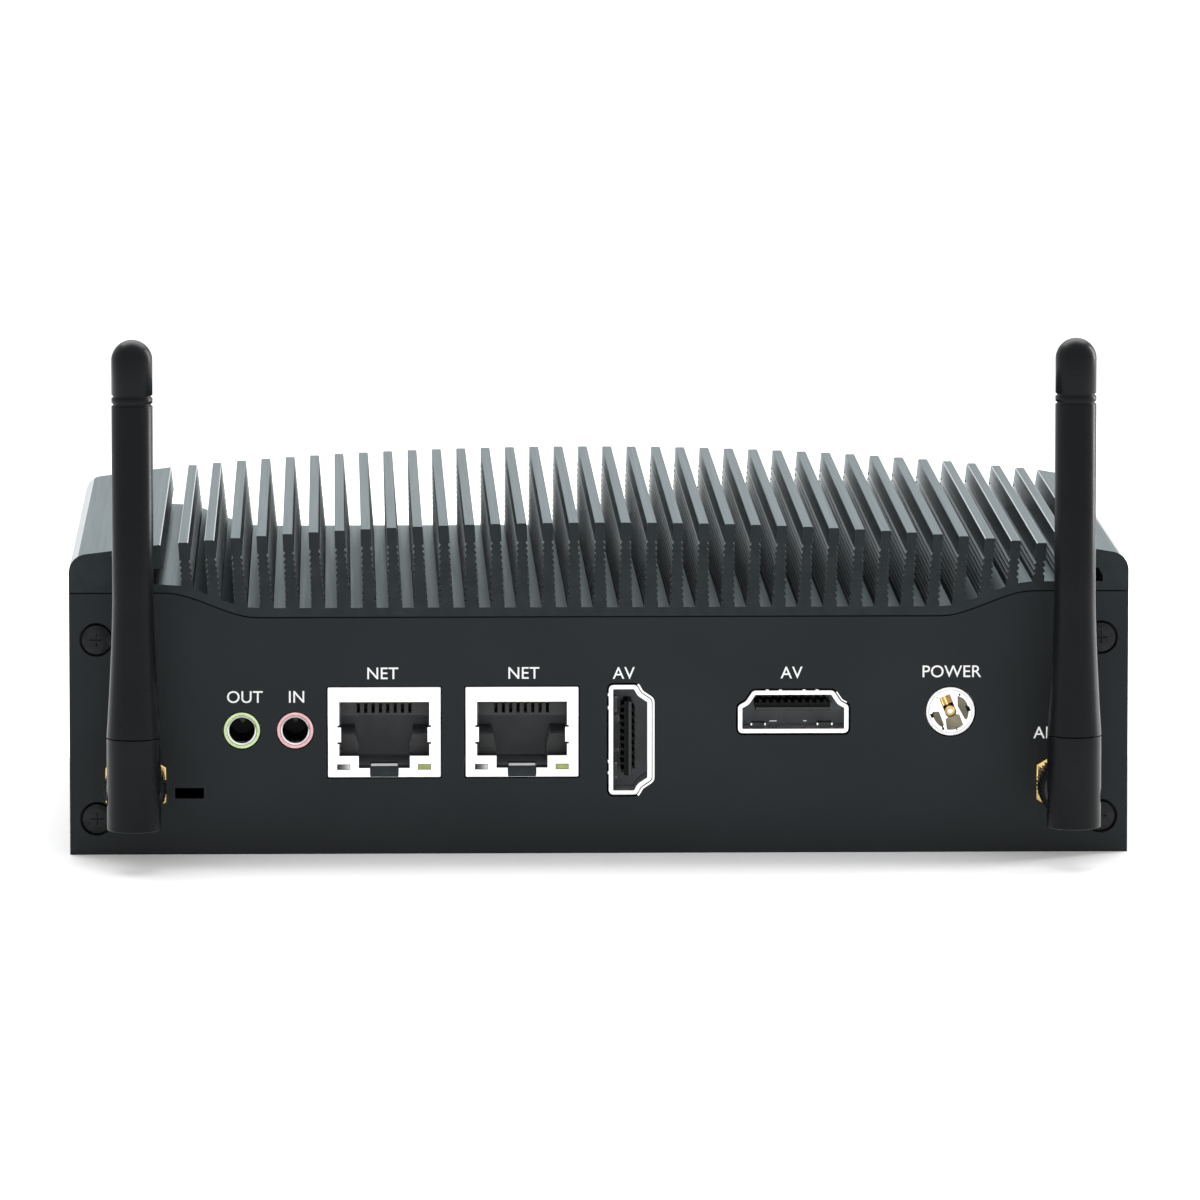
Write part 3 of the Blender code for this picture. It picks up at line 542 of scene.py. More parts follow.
def shoulder_points(side, inner, edge):
    """One solid edge of the lid, from its outer rounding to the undercut valley."""
    corner = (edge - SHOULDER_ROUND, crown_z(edge) - SHOULDER_ROUND + 0.1)
    points = arc(corner, SHOULDER_ROUND, 0, 80, 12)
    deep = inner + UNDERCUT_DEPTH
    points += [(inner + 0.12, crown_z(inner)), (inner, crown_z(inner) - 0.12)]
    points += [(inner - SHOULDER_SLOPE, UNDERCUT_TOP), (deep - 0.75, UNDERCUT_TOP - 0.3)]
    points += [(deep - 0.2, floor_z(inner) + 0.8), (deep - 0.2, floor_z(inner))]
    return [(side * x, z) for x, z in points]


def lid_outline():
    edge = low_high("heatsink_lid")[1].x
    outline = seam_points(SEAM_HALF)
    outline += shoulder_points(1, SHOULDER_RIGHT, edge)
    for index in reversed(range(FIN_COUNT)):
        outline += reversed(fin_points(index))
    outline += reversed(shoulder_points(-1, SHOULDER_LEFT, edge))
    return outline


def lowered(outline, drop):
    """The lid's section with its fins and shoulders that much lower."""
    points = []
    for x, z in outline:
        part = (z - floor_z(x)) / (crown_z(x) - floor_z(x))
        points.append((x, z - drop * min(max(part, 0), 1)))
    return points


def corners(place):
    x, y = place
    return [(side_x * x, side_y * y) for side_y in (-1, 1) for side_x in (-1, 1)]


def heatsink_lid():
    low, high = low_high("heatsink_lid")
    outline = lid_outline()
    sections = [placed(outline, low.y)]
    steps = 5
    for step in range(steps + 1):
        angle = math.pi / 2 * step / steps
        along = high.y - END_ROUND + END_ROUND * math.sin(angle)
        sections.append(placed(lowered(outline, END_ROUND * (1 - math.cos(angle))), along))
    bm = bmesh.new()
    loft(bm, sections)
    lid = settle(solid("heatsink_lid_finned", bm), LID, ["heatsink_lid"], smooth=25)
    # The teeth's upward faces get a lighter copy of the lid's colour: a painted highlight.
    repaint(lid, TOOTH_HIGHLIGHT, lit_tooth_flank)
    posts = bmesh.new()
    board_top = low_high("mainboard")[1].z
    for centre in corners(CASE_POST):
        post(posts, centre, WALL + GAP, SEAM_EDGE + GAP / 2)
    for centre in corners(BOARD_POST):
        post(posts, centre, board_top + 2.2 * GAP, seam_z(BOARD_POST[0] - POST_RADIUS))
    settle(solid("lid_posts", posts), ALUMINIUM)


def lit_tooth_flank(face):
    """Whether a face of the lid is the side of a tooth that looks up, which gets the painted highlight."""
    up = face.normal.z
    across = abs(face.normal.x)
    return 0.3 < up < 0.85 and across > 0.5 and face.center.z < (CROWN_TOP - TOOTH_BAND) * MM


def post(bm, centre, low, high):
    """A pressed-in post with a chamfered foot and a threaded bore."""
    bore = LID_SCREW[2] + GAP
    profile = [(low, bore), (low, POST_RADIUS - 0.3), (low + 0.3, POST_RADIUS), (high, POST_RADIUS)]
    turned(bm, profile + [(high, bore)], centre, "Z", 32, closed=True)


def chassis_tray():
    """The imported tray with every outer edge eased."""
    tray = bpy.data.objects.new("chassis_tray_eased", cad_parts["chassis_tray"].data.copy())
    bpy.context.scene.collection.objects.link(tray)
    bm = bmesh.new()
    bm.from_mesh(tray.data)
    bmesh.ops.remove_doubles(bm, verts=bm.verts, dist=0.00001)
    bmesh.ops.dissolve_limit(bm, angle_limit=math.radians(1), verts=bm.verts, edges=bm.edges)
    bm.to_mesh(tray.data)
    bm.free()
    soften(tray, 0.2)
    settle(tray, CASE, ["chassis_tray"], smooth=None)


def panel_outline():
    edge = low_high("rear_panel")[1].x
    return [(-edge, 0), (edge, 0), *reversed(seam_points(-SEAM_HALF))]


def end_panel(node, holes):
    """A panel with a fine chamfer round its outer face, screw holes and socket holes."""
    low, high = low_high(node)
    outer, inner = (low.y, high.y) if node == "rear_panel" else (high.y, low.y)
    way = 1 if inner > outer else -1
    chamfer = 0.1
    outline = panel_outline()
    bm = bmesh.new()
    face = placed(inset(outline, chamfer), outer)
    loft(bm, [face, placed(outline, outer + way * chamfer), placed(outline, inner)])
    panel = solid(f"{node}_drilled", bm)
    head, height, shank, _ = PANEL_SCREW
    seat = outer + way * (height + GAP)
    sink = 0.12
    wide = head + 0.2
    profile = [(outer - way, wide + sink), (outer, wide + sink), (outer + way * sink, wide)]
    profile += [(seat, wide), (seat, shank + GAP), (inner + way, shank + GAP)]
    for side in (-1, 1):
        for z in PANEL_SCREW_Z:
            turned(holes, profile, (side * PANEL_SCREW_X, z))
    combine(panel, holes, "DIFFERENCE")
    settle(panel, CASE, [node], smooth=25)


def rear_panel():
    low, high = low_high("rear_panel")
    span = (low.y - 1, high.y + 1)
    holes = bmesh.new()
    for side in SIDES:
        a, b = low_high(f"lan_shield_{side}")
        hole = inset(rectangle(a.x, b.x, a.z, b.z), -PORT_CLEARANCE)
        prism(holes, rounded(hole, 0.3), *span)
    for name in ("flat", "upright"):
        prism(holes, inset(hd_outline(name), -HD_CLEARANCE), *span)
    for node, half, radius in (
        ("speaker_jack", AUDIO_BODY_HALF, AUDIO_NOSE),
        ("microphone_jack", AUDIO_BODY_HALF, AUDIO_NOSE),
        ("power_inlet", POWER_BODY_HALF, POWER_HOLE),
    ):
        prism(holes, circle(socket_centre(node, half), radius + PORT_CLEARANCE, 64), *span)
    for side in SIDES:
        centre = middle(f"antenna_connector_{side}")
        prism(holes, circle((centre.x, centre.z), THREAD_RADIUS + GAP), *span)
    prism(holes, rounded(rectangle(*SLOT), 0.15), *span)
    end_panel("rear_panel", holes)


def front_panel():
    low, high = low_high("front_panel")
    span = (low.y - 1, high.y + 1)
    holes = bmesh.new()
    for number in (1, 2):
        a, b = low_high(f"usb_jack_{number}")
        hole = inset(rectangle(a.x, b.x, a.z, b.z), -PORT_CLEARANCE)
        prism(holes, rounded(hole, 0.4), *span)
    button = middle("power_button")
    prism(holes, circle((button.x, button.z), BUTTON_RADIUS + PORT_CLEARANCE, 64), *span)
    light = middle("light_pipe")
    prism(holes, circle((light.x, lamp_z()), LIGHT_RADIUS + PORT_CLEARANCE), *span)
    end_panel("front_panel", holes)


def lamp_z():
    return middle("power_button").z


def socket_centre(node, half_width):
    """The centre of a round socket, whose body reaches from half a width below it."""
    low, high = low_high(node)
    return ((low.x + high.x) / 2, low.z + half_width)


# Screws


def cross(arm, half):
    points = [(half, half), (half, arm), (-half, arm), (-half, half), (-arm, half), (-arm, -half)]
    return points + [(-half, -half), (-half, -arm), (half, -arm), (half, -half), (arm, -half), (arm, half)]


def screw(node, sizes, turn, material):
    """A cross-head screw with a crowned head, in place of a packed one."""
    head, height, shank, length = sizes
    low, high = low_high(node)
    centre = (low + high) / 2
    out = turn @ Vector((0, 0, 1))
    ease = 0.3
    profile = [(-0.12, head * 0.02), (0, head * 0.04), (0, head * 0.5), (-0.03, head * 0.75)]
    profile += [(-ease / 2, head - 0.08), (-ease, head), (-height, head), (-height, shank)]
    along = -height
    while along > -length + THREAD_PITCH:
        profile += [(along - 0.15, shank), (along - 0.3, shank - 0.2)]
        along -= SCREW_PITCH
    profile += [(-length, shank - 0.25)]
    made = turned_solid(f"{node}_cross_head", profile, (0, 0), "Z", 40)
    recess = bmesh.new()
    big, small = cross(head * 0.46, head * 0.045), cross(head * 0.3, head * 0.03)
    loft(recess, [placed(big, 0.2, "Z"), placed(small, -height * 0.3, "Z")])
    combine(made, recess, "DIFFERENCE")
    face = centre + out * (abs((high - low).dot(out)) / 2)
    made.data.transform(Matrix.Translation(face * MM) @ turn.to_4x4())
    settle(made, material, [node], smooth=35)


def screws():
    rear = Matrix.Rotation(math.pi / 2, 3, "X")
    front = Matrix.Rotation(-math.pi / 2, 3, "X")
    under = Matrix.Rotation(math.pi, 3, "X")
    for number in range(1, 5):
        screw(f"rear_screw_{number}", PANEL_SCREW, rear, SCREW)
        screw(f"front_screw_{number}", PANEL_SCREW, front, SCREW)
        screw(f"lid_screw_{number}", LID_SCREW, under, SCREW)
        screw(f"board_screw_{number}", BOARD_SCREW, under, STEEL)


# Network sockets


def lan_mouth(x, slot_bottom=None):
    """The plug opening, with side notches and, in the shield, a slot out of its bottom."""
    half, low, high = LAN_MOUTH
    key, key_low = LAN_KEYWAY
    right = [(key, key_low), (key, low), (half, low)]
    if slot_bottom is not None:
        right = [(LAN_SLOT, slot_bottom), (LAN_SLOT, key_low), *right]
        notch = 0.14
        bulge = 0.25
        first, second = LAN_NOTCHES
        right += [(half, first - notch), (half + bulge, first - notch), (half + bulge, first + notch)]
        right += [(half - bulge, first + notch), (half - bulge, second - notch)]
        right += [(half + bulge, second - notch), (half + bulge, second + notch), (half, second + notch)]
    right += [(half, high)]
    left = [(-a, b) for a, b in reversed(right)]
    return shifted(right + left, (x, 0))


def lamp_windows(low, high):
    """The two indicator windows at a shield's lower corners: left, then right."""
    width, height, rise = 1.83, 0.8, 1.06
    left = low.x + 1.3
    right = high.x - 1.36
    bottom = low.z + rise
    return [
        rectangle(left, left + width, bottom, bottom + height),
        rectangle(right - width, right, bottom, bottom + height),
    ]


def lan_shield(side, low, high):
    x = (low.x + high.x) / 2
    sheet = 0.3
    bm = bmesh.new()
    outline = rounded(rectangle(low.x, high.x, low.z, high.z), 0.2, 3)
    face = placed(inset(outline, 0.08), low.y)
    loft(bm, [face, placed(outline, low.y + 0.08), placed(outline, high.y)])
    shield = solid(f"lan_shield_{side}_folded", bm)
    hollow = bmesh.new()
    inner = inset(rectangle(low.x, high.x, low.z, high.z), sheet)
    prism(hollow, inner, low.y + sheet, high.y - sheet)
    combine(shield, hollow, "DIFFERENCE")
    holes = bmesh.new()
    prism(holes, lan_mouth(x, low.z - 1), low.y - 1, low.y + sheet + 0.1)
    for window in lamp_windows(low, high):
        prism(holes, window, low.y - 1, low.y + sheet + 0.1)
    combine(shield, holes, "DIFFERENCE")
    settle(shield, STEEL, [f"lan_shield_{side}"], smooth=25)


def lan_insert(side, low, high):
    x = (low.x + high.x) / 2
    a, b = low_high(f"lan_insert_{side}")
    half, mouth_low, mouth_high = LAN_MOUTH
    key, key_low = LAN_KEYWAY
    ledge_low = mouth_high - 2.1
    ledge_front = low.y + 2.0
    key_top = 14.4
    step_top = 16.3
    step_width = 2.2
    step_front = low.y + 3.2
    back = -39.0
    bm = bmesh.new()
    box(bm, (a.x, a.y, a.z), (b.x, b.y, b.z))
    insert = solid(f"lan_insert_{side}_moulded", bm)
    cut(insert, lan_mouth(x), a.y - 1, ledge_front)
    outline = [(-key, key_low), (key, key_low), (key, mouth_low), (half, mouth_low), (half, ledge_low)]
    outline += [(-half, ledge_low), (-half, mouth_low), (-key, mouth_low)]
    cut(insert, shifted(outline, (x, 0)), ledge_front - 0.5, step_front)
    right = [(key, key_low), (key, key_top), (half - step_width, step_top)]
    right += [(half, step_top), (half, ledge_low)]
    outline = right + [(-a, b) for a, b in reversed(right)]
    cut(insert, shifted(outline, (x, 0)), step_front - 0.5, back)
    slots = bmesh.new()
    for index in range(LAN_CONTACTS):
        centre = x + (index - (LAN_CONTACTS - 1) / 2) * LAN_CONTACT_PITCH
        hole = rectangle(centre - 0.235, centre + 0.235, mouth_high - 1.8, mouth_high - 0.3)
        prism(slots, hole, ledge_front - 0.5, ledge_front + 4)
    combine(insert, slots, "DIFFERENCE")
    settle(insert, LEDGE, [f"lan_insert_{side}"], smooth=25)
    # The insert's deep faces get a lighter grey than its front: painted light.
    repaint(insert, CAVITY_PAINTED_LIGHT, lambda face: face.center.y > (step_front + 0.2) * MM)


def lan_contacts(side, x, front):
    """Eight gilded wires that slope back and down from their slots."""
    bm = bmesh.new()
    for index in range(LAN_CONTACTS):
        centre = x + (index - (LAN_CONTACTS - 1) / 2) * LAN_CONTACT_PITCH
        wire = [(front + 5.0, 20.5), (front + 5.8, 20.5), (front + 6.6, 19.9), (front + 6.6, 20.2)]
        wire += [(front + 5.9, 20.75), (front + 5.0, 20.75)]
        prism(bm, wire, centre - 0.17, centre + 0.17, "X")
    settle(solid(f"lan_contacts_{side}", bm), BRONZE)


def lan_trim(side, low, high):
    """The spring tab in the shield's slot with a painted highlight on its top edge, the grounding leaves and
    the two lamps.
    """
    x = (low.x + high.x) / 2
    front = low.y
    half = LAN_SLOT - 0.06
    tab = [(front + 0.5, 10.75), (front + 0.14, 10.75), (front + 0.1, 11.3), (front + 0.16, 12.0)]
    tab += [(front + 0.45, 12.42), (front + 2.6, 12.6), (front + 2.6, 12.42), (front + 0.62, 12.24)]
    tab += [(front + 0.5, 11.8)]
    piece = prism_solid(f"lan_spring_tab_{side}", tab, x - half, x + half, "X")
    soften(piece, 0.05, 2, 30)
    settle(piece, TAB, smooth=None)
    # A bright steel strip along the tab's top edge: a painted highlight.
    edge = [(front + 0.16, 12.3), (front + 0.3, 12.24), (front + 0.66, 12.46), (front + 0.5, 12.6)]
    piece = prism_solid(f"lan_tab_highlight_{side}", edge, x - half + 0.1, x + half - 0.1, "X")
    settle(piece, STEEL)
    leaves = bmesh.new()
    for bottom, top in ((13.95, LAN_NOTCHES[0] - 0.25), (LAN_NOTCHES[1] + 0.2, 21.1)):
        edge = x - LAN_MOUTH[0]
        leaf = [(edge - 0.1, front + 0.34), (edge, front + 0.34), (edge + 0.24, front + 0.78)]
        leaf += [(edge + 0.14, front + 0.78)]
        prism(leaves, leaf, bottom, top, "Z")
    settle(solid(f"lan_leaves_{side}", leaves), STEEL)
    left, right = lamp_windows(low, high)
    for name, window, material in (("grey", left, LAMP_GREY), ("green", right, LAMP_GREEN)):
        bm = bmesh.new()
        outline = inset(window, 0.03)
        face = placed(inset(outline, 0.08), front + 0.08)
        loft(bm, [face, placed(outline, front + 0.16), placed(outline, front + 0.75)])
        settle(solid(f"lan_lamp_{name}_{side}", bm), material)


def lan_sockets():
    for side in SIDES:
        low, high = low_high(f"lan_shield_{side}")
        lan_shield(side, low, high)
        lan_insert(side, low, high)
        lan_contacts(side, (low.x + high.x) / 2, low.y)
        lan_trim(side, low, high)


# Display sockets


def hd_turn(name, outline):
    """An outline about a display socket's centre, turned for the upright one."""
    centre = middle(f"hd_shell_{name}")
    if name == "upright":
        outline = [(b, -a) for a, b in outline]
    return shifted(outline, (centre.x, centre.z))


def hd_outline(name):
    """The socket's outline, with its narrow side up and its corners eased."""
    top = HD_HEIGHT / 2
    narrow, shoulder, wide = HD_HALVES
    half = [(wide, -top), (wide, top - HD_DROPS[1]), (shoulder, top - HD_DROPS[0]), (narrow, top)]
    outline = half + [(-a, b) for a, b in reversed(half)]
    return hd_turn(name, rounded(outline, 0.75, 5))


def hd_socket(name, tongue_middle):
    low, high = low_high(f"hd_shell_{name}")
    front, back = low.y, high.y
    outline = hd_outline(name)
    lip = 0.07
    bm = bmesh.new()
    places = [(0, back), (0, front + lip), (lip * 0.3, front + lip * 0.3), (lip, front)]
    places += [(HD_BAND - lip, front), (HD_BAND - lip * 0.3, front + lip * 0.3)]
    thin = HD_BAND - 0.24
    places += [(HD_BAND, front + lip), (HD_BAND, front + 0.9), (thin, front + 1.3), (thin, back)]
    loft(bm, [placed(inset(outline, deep), along) for deep, along in places], closed=True)
    settle(solid(f"hd_shell_{name}_rolled", bm), STEEL, [f"hd_shell_{name}"], smooth=50)
    hd_insert(name, tongue_middle, outline, front, back)
    hd_springs(name, front)
    hd_flange(name, front)


def hd_springs(name, front):
    """Nubs round the shell, and the spring leaves inside it in black for painted shade, with steel strips on
    their edges for painted highlights.
    """
    bright = bmesh.new()
    if name == "flat":
        nubs = [(a, 3.04) for a in (-3.6, -1.8, 1.5, 3.3)]
    else:
        nubs = [(a, -3.04) for a in (-6.3, -4.5, 3.0, 4.6)]
    for a, b in nubs:
        nub = rectangle(a - 0.2, a + 0.2, b - 0.07, b + 0.07)
        prism(bright, hd_turn(name, nub), front + 0.1, front + 2.2)
    dark = bmesh.new()
    leaf_highlights = bmesh.new()
    for start, end in ((-5.75, -3.85), (3.45, 5.45)):
        prism(dark, hd_turn(name, rectangle(start, end, -2.5, -1.75)), front + 2.0, front + 4)
        for a in (start, end):
            leaf_highlight = rectangle(a - 0.1, a + 0.1, -2.1, -1.8)
            prism(leaf_highlights, hd_turn(name, leaf_highlight), front + 1.9, front + 3.6)
    for a, half in ((-2.7, 0.5), (1.7, 0.25)):
        prism(leaf_highlights, hd_turn(name, rectangle(a - half, a + half, -2.42, -1.55)), front + 2.6, front + 2.7)
        prism(dark, hd_turn(name, rectangle(a - half, a + half, -2.42, -1.63)), front + 2.45, front + 2.6)
    settle(solid(f"hd_nubs_{name}", bright), STEEL)
    settle(solid(f"hd_leaf_shade_{name}", dark), BLACK)
    # The upright socket's highlights take a darker steel: a dimmer painted highlight.
    settle(solid(f"hd_leaf_highlights_{name}", leaf_highlights), STEEL if name == "flat" else DARK_STEEL)


def hd_flange(name, front):
    """The thin bent rim that shows outside the chamfered corners."""
    reach = (0.14, 0.3) if name == "flat" else (0.1, 0.36)
    edges = [inset(hd_outline(name), -distance) for distance in reach]
    centre = middle(f"hd_shell_{name}")
    # Where the rim shows: spans across the socket, and how far up it starts
    spans = [(5.9, 7.5), (-7.5, -6.9)] if name == "flat" else [(0.95, 9.0)]
    bottom = 1.0 if name == "flat" else -9.0
    places = [(x - centre.x, z - centre.z) for x, z in edges[0]]
    bm = bmesh.new()
    for low, high in spans:
        picked = [n for n, (x, z) in enumerate(places) if low < x < high and z > bottom]
        if len(picked) > 1:
            strip = [edges[0][n] for n in picked] + [edges[1][n] for n in reversed(picked)]
            prism(bm, strip, front, front + 0.08)
    settle(solid(f"hd_flange_{name}", bm), STEEL)


def hd_insert(name, tongue_middle, outline, front, back):
    """The insert's back wall and its contact tongue, with a row of contacts on each side. The contacts are
    painted near black as shade, and a near-black strip by the tongue is a painted shadow.
    """
    half = 5.2
    core = 0.25
    tip = front + 1.2
    wall = front + 7.1
    bm = bmesh.new()
    prism(bm, inset(outline, HD_BAND - 0.2), wall, back - 0.5)
    insert = solid(f"hd_insert_{name}_moulded", bm)
    tongue = bmesh.new()
    section = rectangle(-half, half, tongue_middle - core, tongue_middle + core)
    edge = hd_turn(name, inset(section, 0.06))
    section = hd_turn(name, section)
    loft(tongue, [placed(edge, tip), placed(section, tip + 0.1), placed(section, wall + 0.5)])
    combine(insert, tongue, "UNION")
    side = 1 if name == "flat" else -1
    rows = [(side, 10, 0.55, 0.95)]
    if name == "upright":
        rows.append((-side, 9, 0.12, 0.46))
    # A near-black strip beside the tongue stands in for the shadow in the slot: painted shadow.
    painted_shade_strips = bmesh.new()
    contacts = bmesh.new()
    near, far = sorted((tongue_middle + side * (core + 0.01), tongue_middle + side * (core + 0.55)))
    prism(painted_shade_strips, hd_turn(name, rectangle(-half, half, near, far)), tip + 0.5, wall)
    for way, count, start, end in rows:
        near, far = sorted((tongue_middle + way * (core + start), tongue_middle + way * (core + end)))
        for index in range(count):
            a = index - (count - 1) / 2
            prism(contacts, hd_turn(name, rectangle(a - 0.2, a + 0.2, near, far)), tip + 0.4, wall)
    settle(insert, LEDGE, [f"hd_insert_{name}"], smooth=25)
    # The back wall's front face gets a lighter grey than the rest of the insert: painted light.
    repaint(insert, CAVITY_PAINTED_LIGHT, lambda face: face.normal.y < -0.9 and face.center.y > (wall - 0.1) * MM)
    settle(solid(f"hd_slot_shadow_{name}", painted_shade_strips), SHADE_BLACK)
    # The contacts take the same near black: painted shade.
    settle(solid(f"hd_contacts_{name}", contacts), SHADE_BLACK)


def hd_sockets():
    hd_socket("flat", 0.3)
    hd_socket("upright", 0.0)


# Round sockets


def audio_jack(node, material):
    """A moulded body with a ringed nose, a bright liner, a black sleeve and a spring."""
    low, high = low_high(node)
    x, z = socket_centre(node, AUDIO_BODY_HALF)
    front = low.y
    body_front = front + 2.4
    liner = 2.1
    bore = 1.78
    profile = [(body_front + 1, liner), (front + 0.25, liner), (front + 0.1, liner + 0.03)]
    profile += [(front + 0.02, 2.15), (front + 0.02, 2.2), (front + 0.1, 2.25), (front + 0.1, 2.31)]
    profile += [(front, 2.35), (front, 2.42), (front + 0.08, AUDIO_NOSE), (body_front + 1, AUDIO_NOSE)]
    jack = turned_solid(f"{node}_ringed", profile, (x, z), steps=64, closed=True)
    body = bmesh.new()
    half = AUDIO_BODY_HALF
    box(body, (x - half, body_front, low.z), (x + half, high.y, high.z), 0.3)
    combine(jack, body, "UNION")
    cut(jack, circle((x, z), liner, 64), front + 0.5, high.y - 1.5)
    settle(jack, material, [node])
    name = node.split("_")[0]
    profile = [(front + 0.22, liner - 0.03), (front + 0.14, liner - 0.1), (front + 0.3, bore + 0.02)]
    profile += [(front + 0.8, bore), (front + 0.8, liner - 0.03)]
    settle(turned_solid(f"{name}_liner", profile, (x, z), steps=64, closed=True), STEEL)
    profile = [(front + 0.85, bore), (front + 0.85, liner - 0.03), (high.y - 1.8, liner - 0.03)]
    profile += [(high.y - 1.8, 0.4), (high.y - 2.3, 0.4), (high.y - 2.3, bore)]
    settle(turned_solid(f"{name}_sleeve", profile, (x, z), closed=True), BLACK)
    bm = bmesh.new()
    bottom = z - bore
    for shift, rise in ((-0.45, 0.55), (0.35, 0.65)):
        leaf = [(front + 1.2, bottom + 0.12), (front + 2.4, bottom + rise), (front + 5.5, bottom + 0.12)]
        leaf += [(front + 5.5, bottom + 0.02), (front + 1.2, bottom + 0.02)]
        prism(bm, leaf, x + shift - 0.3, x + shift + 0.3, "X")
    settle(solid(f"{name}_spring", bm), DARK_STEEL)


def power_inlet():
    """A bright round nose with a slotted liner round a gold pin, over a tan base."""
    low, high = low_high("power_inlet")
    x, z = socket_centre("power_inlet", POWER_BODY_HALF)
    front = low.y
    body_front = front + 2.4
    nose = 3.36
    rim = 2.98
    profile = [(body_front + 1, rim), (front + 0.12, rim), (front + 0.02, rim + 0.04), (front, rim + 0.08)]
    profile += [(front, nose - 0.08), (front + 0.06, nose), (body_front + 1, nose)]
    inlet = turned_solid("power_inlet_nosed", profile, (x, z), steps=64, closed=True)
    body = bmesh.new()
    half = POWER_BODY_HALF
    box(body, (x - half, body_front, low.z), (x + half, high.y, high.z), 0.3)
    combine(inlet, body, "UNION")
    cut(inlet, circle((x, z), rim, 64), front + 0.5, high.y - 1.5)
    settle(inlet, WHITE, ["power_inlet"])
    power_liner(x, z, front, rim)
    power_pin(x, z)


def power_liner(x, z, front, rim):
    """The sleeve inside the nose, cut by a channel, a wedge, two segments and notches, with black plugs of
    painted shadow in the notches and strips of painted highlight and painted shade on the contact in the
    channel.
    """
    tilt = math.radians(21.4)
    inner = rim - 0.02

    def turn(points):
        """Points about the centre, with their second axis along the channel."""
        return [
            (x + a * math.cos(tilt) - b * math.sin(tilt), z + a * math.sin(tilt) + b * math.cos(tilt))
            for a, b in points
        ]

    face = front + 0.08
    deep = front + 5.2
    bm = bmesh.new()
    outer = circle((x, z), inner, 64)
    loft(bm, [placed(inset(outer, 0.04), face), placed(outer, face + 0.04), placed(outer, deep)])
    liner = solid("power_liner", bm)
    channel = 0.78
    keyhole = arc((0, 0.1), 0.92, -148, -32, 12)
    cut(liner, turn(keyhole + [(channel, 2.3), (-channel, 2.3)]), face - 1, deep + 1)
    for outline in (
        [(-1.05, -0.8), *arc((0, 0), 2.6, 238, 292, 8), (1.0, -0.85), (0.5, -0.6), (-0.5, -0.6)],
        [(1.2, 0.35), (1.45, -1.7), *arc((0, 0), 2.55, -48, 24, 8), (1.7, 1.7)],
        [(-1.5, 0.55), *arc((0, 0), 2.5, 160, 224, 8), (-1.5, -1.35)],
    ):
        cut(liner, turn(outline), face - 1, deep + 1)
    # Near-black plugs in the notches stand in for their shadows: painted shadow.
    notch_shadows = bmesh.new()
    for angle, size, reach in POWER_NOTCHES:
        notch = math.radians(angle)
        a, b = reach * math.cos(notch), reach * math.sin(notch)
        outline = turn(rounded(rectangle(a - size * 0.75, a + size * 0.75, b - size, b + size), 0.05, 2))
        cut(liner, outline, face - 1, face + 1.5)
        prism(notch_shadows, inset(outline, 0.01), face + 0.3, face + 1.45)
    settle(solid("power_liner_notch_shadows", notch_shadows), SHADE_BLACK)
    settle(liner, STEEL)
    base = front + 1.7
    profile = [(base, 1.0), (base, inner - 0.35), (base + 3.2, inner - 0.35), (base + 3.2, 1.0)]
    base_piece = turned_solid("power_base", profile, (x, z), closed=True)
    cut(base_piece, turn(rectangle(-channel, channel, 0, 3)), front, deep + 1)
    settle(base_piece, KHAKI)
    # The contact in the channel is drawn as bright gold strips of painted highlight between darker bronze
    # strips of painted shade.
    highlight_strips = bmesh.new()
    painted_shade_strips = bmesh.new()
    for a, half in ((-0.57, 0.1), (-0.05, 0.13)):
        prism(highlight_strips, turn(rectangle(a - half, a + half, 0.95, 2.2)), front + 0.9, front + 4)
    for a, half in ((-0.31, 0.13), (0.25, 0.15), (0.58, 0.14)):
        prism(painted_shade_strips, turn(rectangle(a - half, a + half, 0.95, 2.2)), front + 1.4, front + 4)
    settle(solid("power_contact_painted_highlight", highlight_strips), GOLD)
    settle(solid("power_contact_painted_shade", painted_shade_strips), BRONZE)


def power_pin(x, z):
    low, high = low_high("power_pin")
    radius = (high.x - low.x) / 2
    flat = 0.22
    profile = [(low.y - 0.35, 0.06), (low.y - 0.33, flat)]
    steps = 6
    for step in range(steps + 1):
        angle = math.pi / 2 * step / steps
        profile.append((low.y + 0.15 - 0.42 * math.cos(angle), flat + (radius - flat) * math.sin(angle)))
    profile += [(high.y, radius)]
    pin = turned_solid("power_pin_domed", profile, (x, z), steps=32)
    settle(pin, GOLD, ["power_pin"], smooth=40)
    # A bright steel disc on the gold pin's tip: a painted highlight.
    profile = [(low.y - 0.38, 0.05), (low.y - 0.38, 0.3), (low.y - 0.3, 0.36), (low.y, 0.36)]
    settle(turned_solid("power_pin_highlight", profile, (x, z), steps=32), STEEL)


def round_sockets():
    audio_jack("speaker_jack", GREEN)
    audio_jack("microphone_jack", PINK)
    power_inlet()


# Antennas


